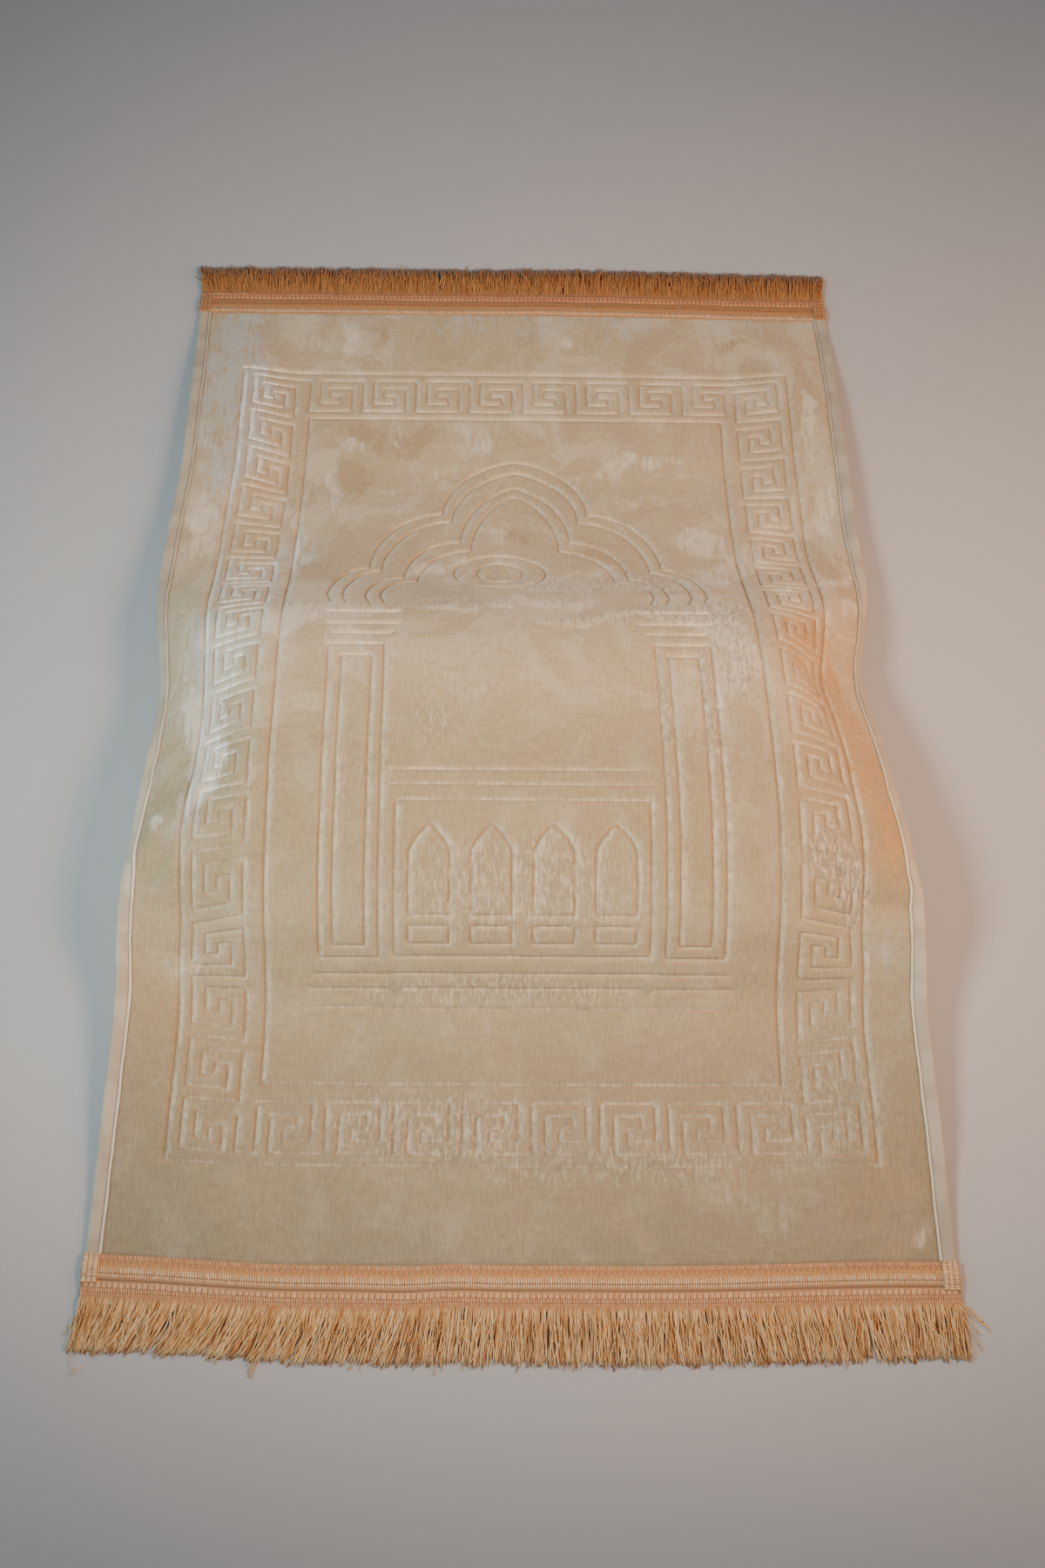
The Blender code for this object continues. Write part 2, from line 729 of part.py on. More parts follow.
def end_tape(end, look):
    """The ribbed tape over the panel's end, with its own ends turned down over the corners."""
    turn = TAPE_HALF_WIDTH - TAPE_TURN
    rises = [(-TAPE_HALF_WIDTH, TAPE_TURN_RISE), (-turn, TAPE_TURN_RISE), (-turn + MM, 0.0)]
    rises += [(across, 0.0) for across in end_columns()]
    rises += [(turn - MM, 0.0), (turn, TAPE_TURN_RISE), (TAPE_HALF_WIDTH, TAPE_TURN_RISE)]
    rings = []
    for across, rise in rises:
        ring = [(TAPE_PROFILE[0][0], 0.0)] + list(TAPE_PROFILE) + [(TAPE_PROFILE[-1][0], 0.0)]
        rings.append([place(across, beyond(end, out * MM), level * MM + (rise if level else 0.0))
                      for out, level in ring])
    mesh = bmesh.new()
    sweep(mesh, rings)
    made = finish("end_tape_front" if end < 0 else "end_tape_back", mesh, look, 35)
    cutter = bmesh.new()
    pocket = PANEL_EDGE + GAP
    depth = TAPE_LAP + GAP
    low, high = -2 * MM, POCKET_TOP
    sweep(cutter, [[place(across, beyond(end, out), level)
                    for out, level in ((-2 * MM, low), (depth, low), (depth, high), (-2 * MM, high))]
                   for across in [-pocket] + end_columns() + [pocket]])
    hollow = finish("pocket", cutter, look, 35)
    cut(made, hollow)
    return made


def cut(made, cutter):
    """Cut one object out of another and remove the cutter."""
    step = made.modifiers.new("cut", "BOOLEAN")
    step.operation = "DIFFERENCE"
    step.solver = "EXACT"
    step.object = cutter
    graph = bpy.context.evaluated_depsgraph_get()
    data = bpy.data.meshes.new_from_object(made.evaluated_get(graph))
    made.modifiers.clear()
    made.data = data
    bpy.data.objects.remove(cutter, do_unlink=True)


def lock_lean(number, end):
    """How far a lock leans as it goes out, in radians, and more at the two ends."""
    share = (number + 0.5) / LOCKS
    lean = 0.09 * math.sin(2 * math.pi * (1.7 * share + 0.13)) + 0.05 * math.sin(19.0 * share + end)
    start = max(0.0, 1 - (number + 0.5) / SPLAY_LOCKS)
    stop = max(0.0, 1 - (LOCKS - number - 0.5) / SPLAY_LOCKS)
    return lean + SPLAY_LEAN * (stop - start * 0.6)


def lock_length(number, end):
    uneven = math.sin(number * 2.4 + end) + 0.6 * math.sin(number * 0.37 + 2 * end)
    return LOCK_LENGTH + LOCK_UNEVEN * uneven / 1.6


def heading(mesh, end, peaks):
    """The narrow strip that holds the locks.

    Its outer top edge has a point at each lock's peak, which is returned, with the corners of its
    outer face and the points along its inner bottom edge.
    """
    columns = [-TAPE_HALF_WIDTH] + peaks[LOCKS_PER_FACET // 2::LOCKS_PER_FACET] + [TAPE_HALF_WIDTH]

    def point(across, out, level):
        return mesh.verts.new(place(across, beyond(end, out * MM), level * MM))

    inner, outer = HEADING_PROFILE[0][0], HEADING_PROFILE[-1]
    bottom = [point(across, inner, 0.0) for across in columns]
    rows = [bottom]
    for out, level in HEADING_PROFILE[:-1]:
        rows.append([point(across, out, level) for across in columns])
    for near, far in zip(rows, rows[1:]):
        for i in range(len(columns) - 1):
            mesh.faces.new([near[i], near[i + 1], far[i + 1], far[i]])
    rim = [point(across, *outer) for across in [-TAPE_HALF_WIDTH] + peaks + [TAPE_HALF_WIDTH]]
    places = [-TAPE_HALF_WIDTH] + peaks + [TAPE_HALF_WIDTH]
    last = rows[-1]
    for i in range(len(columns) - 1):
        part = [vert for vert, across in zip(rim, places)
                if columns[i] <= across <= columns[i + 1]]
        mesh.faces.new([last[i], last[i + 1]] + part[::-1])
    feet = [point(across, outer[0], 0.0) for across in (-TAPE_HALF_WIDTH, TAPE_HALF_WIDTH)]
    for side, foot in zip((0, -1), feet):
        mesh.faces.new([row[side] for row in rows] + [rim[side], foot])
    return rim, feet, bottom


def fringe(end, look):
    """Locks of cut yarn that lie on the floor, rooted in a narrow heading."""
    mesh = bmesh.new()
    pitch = 2 * TAPE_HALF_WIDTH / LOCKS
    peaks = [-TAPE_HALF_WIDTH + (number + 0.5) * pitch for number in range(LOCKS)]
    rim, feet, bottom = heading(mesh, end, peaks)
    root_out = HEADING_PROFILE[-1][0] * MM
    edge = [feet[0]]
    for number, peak in enumerate(peaks):
        lean = lock_lean(number, end)
        length = lock_length(number, end)
        roots = [mesh.verts.new(place(peak + side * LOCK_ROOT_HALF, beyond(end, root_out), 0.0))
                 for side in (-1, 1)]
        ring = [roots[0], roots[1], rim[number + 1]]
        mesh.faces.new([edge[-1], roots[0], rim[number + 1], rim[number]])
        edge += roots
        for row in LOCK_SECTIONS:
            middle = peak + row.share * length * math.sin(lean)
            out = beyond(end, root_out + row.share * length * math.cos(lean))
            spots = ((-row.half_width, 0.0), (row.half_width, 0.0), (0.0, row.height))
            further = [mesh.verts.new(place(middle + across, out, level))
                       for across, level in spots]
            for i in range(3):
                j = (i + 1) % 3
                mesh.faces.new([ring[i], ring[j], further[j], further[i]])
            ring = further
        mesh.faces.new(ring)
    mesh.faces.new([edge[-1], feet[1], rim[-1], rim[-2]])
    mesh.faces.new(bottom + [feet[1]] + edge[::-1])
    return finish("fringe_front" if end < 0 else "fringe_back", mesh, look, 35)


def main():
    clear_scene()
    velour = material("velour", VELOUR, 0.75)
    binding = material("binding", BINDING, 0.6)
    tape = material("tape", TAPE, 0.5)
    yarn = material("yarn", FRINGE, 0.5)
    velour_panel(velour)
    for side in (-1, 1):
        side_binding(side, binding)
    for end in (-1, 1):
        end_tape(end, tape)
        fringe(end, yarn)


main()
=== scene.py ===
"""Looks of the prayer rug: embossed velour, bound sides, ribbed end tapes and cut fringes.

Metres, +Z up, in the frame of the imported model.  The rug is drawn flat first, on the cloth.  A
pattern point is (across, along): across from the centre line, along from the front tape's inner
edge.  Folds lays a pattern point on the folded rug, so that every piece follows the same folds.
"""

from __future__ import annotations

import logging
import math
from dataclasses import dataclass, field
from enum import Enum
from typing import Callable, NamedTuple

import bmesh
import bpy
import numpy as np
from mathutils import Matrix, Vector
from mathutils.geometry import delaunay_2d_cdt


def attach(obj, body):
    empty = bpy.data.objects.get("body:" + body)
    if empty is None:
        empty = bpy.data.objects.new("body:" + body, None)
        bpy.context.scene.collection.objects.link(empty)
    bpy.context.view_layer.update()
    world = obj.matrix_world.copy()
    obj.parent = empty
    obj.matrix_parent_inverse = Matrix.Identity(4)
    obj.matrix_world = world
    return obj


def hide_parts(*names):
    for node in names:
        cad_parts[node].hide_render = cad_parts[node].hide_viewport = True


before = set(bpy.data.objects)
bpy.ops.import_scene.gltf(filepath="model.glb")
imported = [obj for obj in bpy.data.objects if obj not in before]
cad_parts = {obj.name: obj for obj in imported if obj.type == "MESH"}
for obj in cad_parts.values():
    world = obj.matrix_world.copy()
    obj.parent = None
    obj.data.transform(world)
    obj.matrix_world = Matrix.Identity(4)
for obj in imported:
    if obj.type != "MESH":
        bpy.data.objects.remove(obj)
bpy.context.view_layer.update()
log = logging.getLogger("rug")
MM = 0.001
SEED = 7
Piece = bpy.types.Object
Material = bpy.types.Material
Socket = bpy.types.NodeSocket
Random = np.random.Generator
Colour = tuple[int, int, int]
Row = tuple[float, ...]


class Slot(Enum):
    """The record's material slots."""

    VELOUR = "velour"
    BINDING = "binding"
    TAPE = "tape"
    YARN = "yarn"


class End(Enum):
    """The two ends of the rug."""

    FRONT = "front"
    BACK = "back"


class Nap(Enum):
    """How a hand has left the pile, with painted highlight, shade and tints of the side lights on
    it.
    """

    PALE = "pale"
    DEEP = "deep"
    RUFFLED = "ruffled"
    COOL = "cool"
    WARM = "warm"


# ---- Folds ----

class Section(NamedTuple):
    """A section across the rug: heights of its underside, and its slip to the right, in mm."""

    along: float
    middle: float
    left_shoulder: float
    left_edge: float
    right_shoulder: float
    right_edge: float
    sway: float


class Draw(NamedTuple):
    """A corner drawn towards the back: which side and end (0 front, 1 back), and mm."""

    side: int
    end: int
    back: float
    across: float


class Crease(NamedTuple):
    """A soft ridge (or a trough, if its height is negative) between two pattern points, in mm."""

    across: float
    along: float
    to_across: float
    to_along: float
    width: float
    height: float


def smooth_step(share: np.ndarray) -> np.ndarray:
    """Ease from 0 to 1 over the unit span."""
    share = np.clip(share, 0.0, 1.0)
    return share * share * (3 - 2 * share)


class SmoothCurve:
    """A smooth curve through points that never overshoots them, level or free at its ends."""

    def __init__(self, places: np.ndarray, values: np.ndarray, free_ends: bool = False) -> None:
        """Fit the curve.

        Args:
            places: where the points are, rising.
            values: the values there.
            free_ends: let the ends slope, instead of holding them level.
        """
        self.places = np.asarray(places, float)
        self.values = np.asarray(values, float)
        steps = np.diff(self.places)
        rises = np.diff(self.values) / steps
        slopes = np.zeros(len(self.places))
        before, after, low, high = steps[:-1], steps[1:], rises[:-1], rises[1:]
        near, far = 2 * after + before, after + 2 * before
        climbing = low * high > 0
        safe_low = np.where(climbing, low, 1.0)
        safe_high = np.where(climbing, high, 1.0)
        slopes[1:-1] = np.where(climbing, (near + far) / (near / safe_low + far / safe_high), 0.0)
        if free_ends:
            slopes[0] = 1.5 * rises[0] - 0.5 * slopes[1]
            slopes[-1] = 1.5 * rises[-1] - 0.5 * slopes[-2]
        self.slopes = slopes

    def at(self, place: np.ndarray | float) -> np.ndarray:
        """Values of the curve.

        Args:
            place: one place or an array of them.

        Returns:
            The values there, held level past the ends.
        """
        place = np.clip(np.asarray(place, float), self.places[0], self.places[-1])
        row = np.clip(np.searchsorted(self.places, place, "right") - 1, 0, len(self.places) - 2)
        span = self.places[row + 1] - self.places[row]
        t = (place - self.places[row]) / span
        return ((1 + 2 * t) * (1 - t) ** 2 * self.values[row]
                + t * (1 - t) ** 2 * span * self.slopes[row]
                + t * t * (3 - 2 * t) * self.values[row + 1]
                + t * t * (t - 1) * span * self.slopes[row + 1])


@dataclass
class Folds:
    """The shape in which the cloth lies, as in the part's own source, with its small creases."""

    width: float = 700 * MM
    shown_length: float = 1180 * MM
    middle_half: float = 225 * MM
    shoulder: float = 296 * MM
    draw_along: float = 250 * MM
    spare: float = 96 * MM              # laid past the cloth shown, for the tapes and fringes
    spare_across: float = 36 * MM
    tape_shift: float = 2.8 * MM        # of both end tapes towards the back
    step: float = 2.5 * MM
    walk: float = 4 * MM
    sections: tuple[Section, ...] = (
        Section(0, 0, 0, 0, 0, 0, 2),
        Section(60, 0, 0, 3, 1, 5, 2),
        Section(130, 0, 5, 13, 10, 18, 2),
        Section(200, 1, 12, 24, 15, 28, 2),
        Section(240, 12, 20, 35, 22, 36, 2),
        Section(280, 40, 35, 47, 35, 45, 2),
        Section(320, 73, 57, 59, 56, 57, 2),
        Section(360, 97, 82, 67, 81, 66, 2),
        Section(405, 112, 98, 71, 95, 69, 2),
        Section(470, 119, 90, 69, 92, 63, 1),
        Section(550, 114, 83, 56, 76, 50, 0),
        Section(590, 110, 82, 51, 68, 42, -1),
        Section(635, 99, 79, 50, 66, 31, -2),
        Section(690, 75, 67, 47, 62, 29, -3),
        Section(750, 45, 43, 38, 40, 24, -4),
        Section(800, 27, 29, 30, 20, 21, -5),
        Section(860, 12, 23, 23, 8, 19, -5),
        Section(940, 0, 20, 19, 8, 16, -5),
        Section(1050, 0, 12, 13, 8, 9, -5),
        Section(1120, 0, 5, 6, 4, 3, -6),
        Section(1180, 0, 0, 0, 0, 0, -8),
    )
    draws: tuple[Draw, ...] = (
        Draw(-1, 0, 8, 170),
        Draw(1, 0, 5, 300),
        Draw(1, 1, -5, 350),
    )
    creases: tuple[Crease, ...] = (
        Crease(140, 694, 226, 700, 4, -1.1),
        Crease(262, 352, 352, 336, 6, -3.0),
        Crease(270, 372, 356, 352, 11, 3.4),
        Crease(300, 322, 352, 318, 10, 1.6),
        Crease(-345, 322, -300, 400, 8, -2.4),
        Crease(-350, 352, -312, 425, 9, 2.6),
        Crease(-352, 334, -318, 338, 7, 2.0),
        Crease(-346, 470, -322, 520, 8, -1.6),
        Crease(-300, 420, -270, 470, 8, 1.4),
        Crease(-292, 400, -262, 455, 7, -1.2),
        Crease(-30, 668, 80, 676, 6, 0.9),
    )

    def __post_init__(self) -> None:
        """Lay the whole cloth once, on a fine net."""
        self.edge = self.width / 2
        self.front_edge = self.tape_shift
        self.back_edge = self.shown_length + self.tape_shift
        places = np.array([row.along for row in self.sections]) * MM
        self.curves = {name: SmoothCurve(places, np.array([getattr(row, name)
                                                           for row in self.sections]) * MM)
                       for name in Section._fields[1:]}
        self.laid_length = self.walk_along()
        self.net_across = np.arange(-self.edge - self.spare_across,
                                    self.edge + self.spare_across, self.step)
        self.net_along = np.arange(-self.spare, self.shown_length + self.spare, self.step)
        rows = [self.section_row(along) for along in self.net_along]
        self.places = np.array(rows)
        self.places[:, :, 2] = np.maximum(self.places[:, :, 2] + self.creased(), 0.0)
        by_along, by_across = np.gradient(self.places, axis=(0, 1))
        ups = np.cross(by_across, by_along)
        self.ups = ups / np.linalg.norm(ups, axis=2, keepdims=True)

    def walk_along(self) -> float:
        """Step along the middle of the cloth, and return the length that it covers."""
        steps = np.arange(round(self.shown_length / self.walk) + 1) * self.walk
        rises = np.diff(self.curves["middle"].at(steps))
        self.plan = np.concatenate([[0.0], np.cumsum(np.sqrt(self.walk ** 2 - rises ** 2))])
        self.plan_steps = steps
        return float(self.plan[-1])

    def plan_along(self, along: float) -> float:
        """Distance on the floor from the front tape's inner edge."""
        if along < 0:
            return along
        if along > self.shown_length:
            return self.laid_length + along - self.shown_length
        return float(np.interp(along, self.plan_steps, self.plan))

    def section_row(self, along: float) -> np.ndarray:
        """The underside's points across the rug.

        Args:
            along: place of the section on the cloth.

        Returns:
            A point for each place across the net.
        """
        inside = min(max(along, 0.0), self.shown_length)
        at = {name: float(curve.at(inside)) for name, curve in self.curves.items()}
        spots = (-self.edge, -self.shoulder, -self.middle_half,
                 self.middle_half, self.shoulder, self.edge)
        heights = (at["left_edge"], at["left_shoulder"], at["middle"], at["middle"],
                   at["right_shoulder"], at["right_edge"])
        curve = SmoothCurve(np.array(spots), np.array(heights), free_ends=True)
        fine = self.edge / 120
        across = np.arange(0, self.edge + self.spare_across + fine, fine)
        row = np.zeros((len(self.net_across), 3))
        for side in (-1, 1):
            level = curve.at(side * across)
            reach = np.concatenate([[0.0], np.cumsum(np.sqrt(fine ** 2 - np.diff(level) ** 2))])
            mine = self.net_across * side >= 0
            here = np.abs(self.net_across[mine])
            row[mine, 0] = side * np.interp(here, across, reach) + at["sway"]
            row[mine, 2] = np.interp(here, across, level)
        row[:, 1] = self.plan_along(along) - self.laid_length / 2 + self.drawn_back(along)
        return row

    def drawn_back(self, along: float) -> np.ndarray:
        """How far each place across a section is moved towards the back by the corners."""
        moved = np.zeros(len(self.net_across))
        for row in self.draws:
            reach = smooth_step((row.side * self.net_across - self.edge) / (row.across * MM) + 1)
            past = abs(along - row.end * self.shown_length) / self.draw_along
            outside = (along - row.end * self.shown_length) * (2 * row.end - 1) > 0
            moved += row.back * MM * reach * (1.0 if outside else 1 - smooth_step(past))
        return moved

    def creased(self) -> np.ndarray:
        """Height of the small creases over the whole net."""
        across, along = np.meshgrid(self.net_across, self.net_along)
        height = np.zeros(across.shape)
        for row in self.creases:
            start = np.array((row.across, row.along)) * MM
            run = np.array((row.to_across, row.to_along)) * MM - start
            share = ((across - start[0]) * run[0] + (along - start[1]) * run[1]) / (run @ run)
            near = np.clip(share, 0, 1)
            far = np.hypot(across - start[0] - near * run[0], along - start[1] - near * run[1])
            taper = smooth_step(np.minimum(near, 1 - near) * 3 + 0.15)
            height += row.height * MM * taper * np.exp(-(far / (row.width * MM)) ** 2)
        return height

    def lay(self, across: np.ndarray, along: np.ndarray, level: np.ndarray) -> np.ndarray:
        """Points in space.

        Args:
            across: places across the cloth.
            along: places along the cloth.
            level: heights over the cloth's underside.

        Returns:
            One row of x, y, z for each point.
        """
        across, along, level = (np.asarray(v, float) for v in (across, along, level))
        column = (across - self.net_across[0]) / self.step
        row = (along - self.net_along[0]) / self.step
        left = np.clip(column.astype(int), 0, len(self.net_across) - 2)
        low = np.clip(row.astype(int), 0, len(self.net_along) - 2)
        u = (column - left)[:, None]
        v = (row - low)[:, None]
        found = []
        for net in (self.places, self.ups):
            found.append(net[low, left] * (1 - u) * (1 - v) + net[low, left + 1] * u * (1 - v)
                         + net[low + 1, left] * (1 - u) * v + net[low + 1, left + 1] * u * v)
        return found[0] + found[1] * level[:, None]


# ---- The pressed-in design ----

class Groove(NamedTuple):
    """A pressed line of the design: pattern points in metres."""

    points: list[tuple[float, float]]
    closed: bool
    width: float
    depth: float


class ArchLine(NamedTuple):
    """One line of the arch: its point, and the outer foot of each lobe as (across, along), mm."""

    point: float
    crown: tuple[float, float]
    shoulder: tuple[float, float]
    hip: tuple[float, float]
    overlap: float


@dataclass
class Design:
    """The traditional key border and arch, drawn from the same named sizes as the part's own."""

    groove_width: float = 8.4 * MM      # with its soft shoulders
    groove_depth: float = 2.1 * MM
    frame_width: float = 10.0 * MM
    frame_depth: float = 2.6 * MM
    key_across: float = 11.5
    key_along: float = 11.61
    keys_per_side: int = 17
    keys_per_end: int = 8
    key_half_width: float = 284.0
    key_front: float = 99.5
    key_pitch: int = 5
    key_path: tuple[tuple[int, int], ...] = (
        (0, 0), (0, 4), (4, 4), (4, 1), (2, 1), (2, 2), (3, 2), (3, 3), (1, 3), (1, 0))
    frames: tuple[tuple[float, float, float], ...] = ((295, 89, 1086), (220.5, 163.5, 1018))
    column_boxes: tuple[tuple[float, float, float, float], ...] = (
        (123.5, 174.5, 281, 597), (135.0, 162.5, 293, 582.5))
    capital_lines: tuple[tuple[float, float, float], ...] = (
        (612.5, 118.5, 171.5), (628.5, 115, 173.5), (649.5, 113, 177))
    side_steps: tuple[tuple[float, float, float], ...] = (
        (266, 117.5, 174.5), (252, 115.5, 179.5), (234.5, 109, 185))
    middle_steps: tuple[tuple[float, float], ...] = ((266.5, 106.5), (252.5, 102.5), (234, 93.5))
    lintel_lines: tuple[float, ...] = (436, 450.5)
    arcade: tuple[float, float, float] = (110, 282.5, 421)
    arcade_pitch: float = 53.5
    door: tuple[float, float, float, float] = (17.6, 321, 372, 399)
    door_bend: float = 0.36             # how high the sides stay upright, of the point's rise
    plinth: tuple[float, float, float] = (17.6, 295, 311.5)
    arch_lines: tuple[ArchLine, ...] = (
        ArchLine(954, (73.6, 868.0), (144.0, 764.5), (181.0, 690), 12),
        ArchLine(938, (64.0, 855.0), (132.0, 758.0), (166.5, 688), 14),
        ArchLine(915, (54.6, 818.5), (109.4, 742.0), (144.5, 686), 28),
        ArchLine(900, (44.0, 801.5), (96.0, 731.5), (130.5, 688), 30),
    )
    arch_curl: tuple[float, float] = (4, 14)
    pendant_centre: tuple[float, float] = (-16, 754)
    pendant_rings: tuple[tuple[float, float], ...] = ((45, 38), (22, 22))
    arc_steps: int = 14

    def thin(self, points: list[tuple[float, float]], closed: bool = False) -> Groove:
        """A thin groove through points given in millimetres."""
        return Groove([(a * MM, b * MM) for a, b in points], closed,
                      self.groove_width, self.groove_depth)

    def box(self, near: float, far: float, foot: float, head: float) -> list[tuple[float, float]]:
        """The corners of a rectangle."""
        return [(near, foot), (far, foot), (far, head), (near, head)]

    def key_border(self) -> Groove:
        """One closed line: up the left side, along both ends and down the right side."""
        inner = self.key_half_width - 4 * self.key_across
        back = self.key_front + (self.keys_per_side * self.key_pitch - 1) * self.key_along
        start = inner - self.keys_per_end * self.key_pitch * self.key_across
        left = [(-inner - out * self.key_across,
                 back - (key * self.key_pitch + along) * self.key_along)
                for key in range(self.keys_per_side) for along, out in self.key_path]
        left.append((-inner, self.key_front))
        right = [(-across, along) for across, along in reversed(left)]
        front = [(start + (key * self.key_pitch + along) * self.key_across,
                  self.key_front + out * self.key_along)
                 for key in range(self.keys_per_end) for along, out in self.key_path]
        rear = [(across, back - (along - self.key_front)) for across, along in reversed(front)]
        return self.thin(left + front + right + rear, closed=True)

    def columns(self) -> list[Groove]:
        """The two columns with their capitals and the steps they stand on."""
        made = []
        for side in (-1, 1):
            for near, far, foot, head in self.column_boxes:
                made.append(self.thin(self.box(side * near, side * far, foot, head), True))
            for along, near, far in self.capital_lines + self.side_steps:
                made.append(self.thin([(side * near, along), (side * far, along)]))
        return made

    def doors(self) -> list[Groove]:
        """The frame between the columns, its four doors and their plinths, lintel and steps."""
        half, foot, head = self.arcade
        made = [self.thin(self.box(-half, half, foot, head), True)]
        made += [self.thin([(-half, along), (half, along)]) for along in self.lintel_lines]
        made += [self.thin([(-reach, along), (reach, along)]) for along, reach in self.middle_steps]
        width, sill, springing, point = self.door
        bend = springing + self.door_bend * (point - springing)
        shares = [step / 8 for step in range(9)]
        for number in range(4):
            centre = (number - 1.5) * self.arcade_pitch
            left = [(centre - width * (1 - t * t),
                     springing * (1 - t) ** 2 + 2 * bend * t * (1 - t) + point * t * t)
                    for t in shares]
            right = [(2 * centre - across, along) for across, along in reversed(left[:-1])]
            made.append(self.thin([(centre - width, sill)] + left + right
                                  + [(centre + width, sill)], True))
            wide, low, high = self.plinth
            made.append(self.thin(self.box(centre - wide, centre + wide, low, high), True))
        return made

    def lobe(self, start: tuple[float, float], end: tuple[float, float]) -> list:
        """A quarter of an ellipse that leaves start level and reaches end upright."""
        turns = [step / self.arc_steps * math.pi / 2 for step in range(1, self.arc_steps + 1)]
        return [(start[0] + (end[0] - start[0]) * math.sin(t),
                 end[1] + (start[1] - end[1]) * math.cos(t)) for t in turns]

    def crown(self, row: ArchLine) -> list:
        """From an arch line's point down to the foot of its top lobe."""
        reach = row.crown[0] + row.overlap
        start = math.acos(row.overlap / reach)
        rise = (row.point - row.crown[1]) / math.sin(start)
        turns = [start * (1 - step / self.arc_steps) for step in range(1, self.arc_steps + 1)]
        return [(reach * math.cos(t) - row.overlap, row.crown[1] + rise * math.sin(t))
                for t in turns]

    def arch(self) -> list[Groove]:
        """The nested lines of the arch."""
        made = []
        for row in self.arch_lines:
            right = self.crown(row) + self.lobe(row.crown, row.shoulder)
            right += self.lobe(row.shoulder, row.hip)
            right.append((row.hip[0] - self.arch_curl[0], row.hip[1] - self.arch_curl[1]))
            left = [(-across, along) for across, along in reversed(right)]
            made.append(self.thin(left + [(0.0, row.point)] + right))
        return made

    def pendant(self) -> list[Groove]:
        """Two rings hanging under the arch."""
        turns = [2 * math.pi * step / 32 for step in range(32)]
        middle, level = self.pendant_centre
        return [self.thin([(middle + half * math.cos(t), level + height * math.sin(t))
                           for t in turns], True) for half, height in self.pendant_rings]

    def grooves(self) -> list[Groove]:
        """The whole design."""
        made = [self.key_border()]
        for half, front, back in self.frames:
            points = [(a * MM, b * MM) for a, b in self.box(-half, half, front, back)]
            made.append(Groove(points, True, self.frame_width, self.frame_depth))
        return made + self.columns() + self.doors() + self.arch() + self.pendant()


# ---- Finishes ----

def linear(colour: Colour) -> tuple[float, float, float, float]:
    """A colour as light, from its value on a screen."""
    parts = [c / 255 for c in colour]
    return (*(p / 12.92 if p <= 0.04045 else ((p + 0.055) / 1.055) ** 2.4 for p in parts), 1.0)


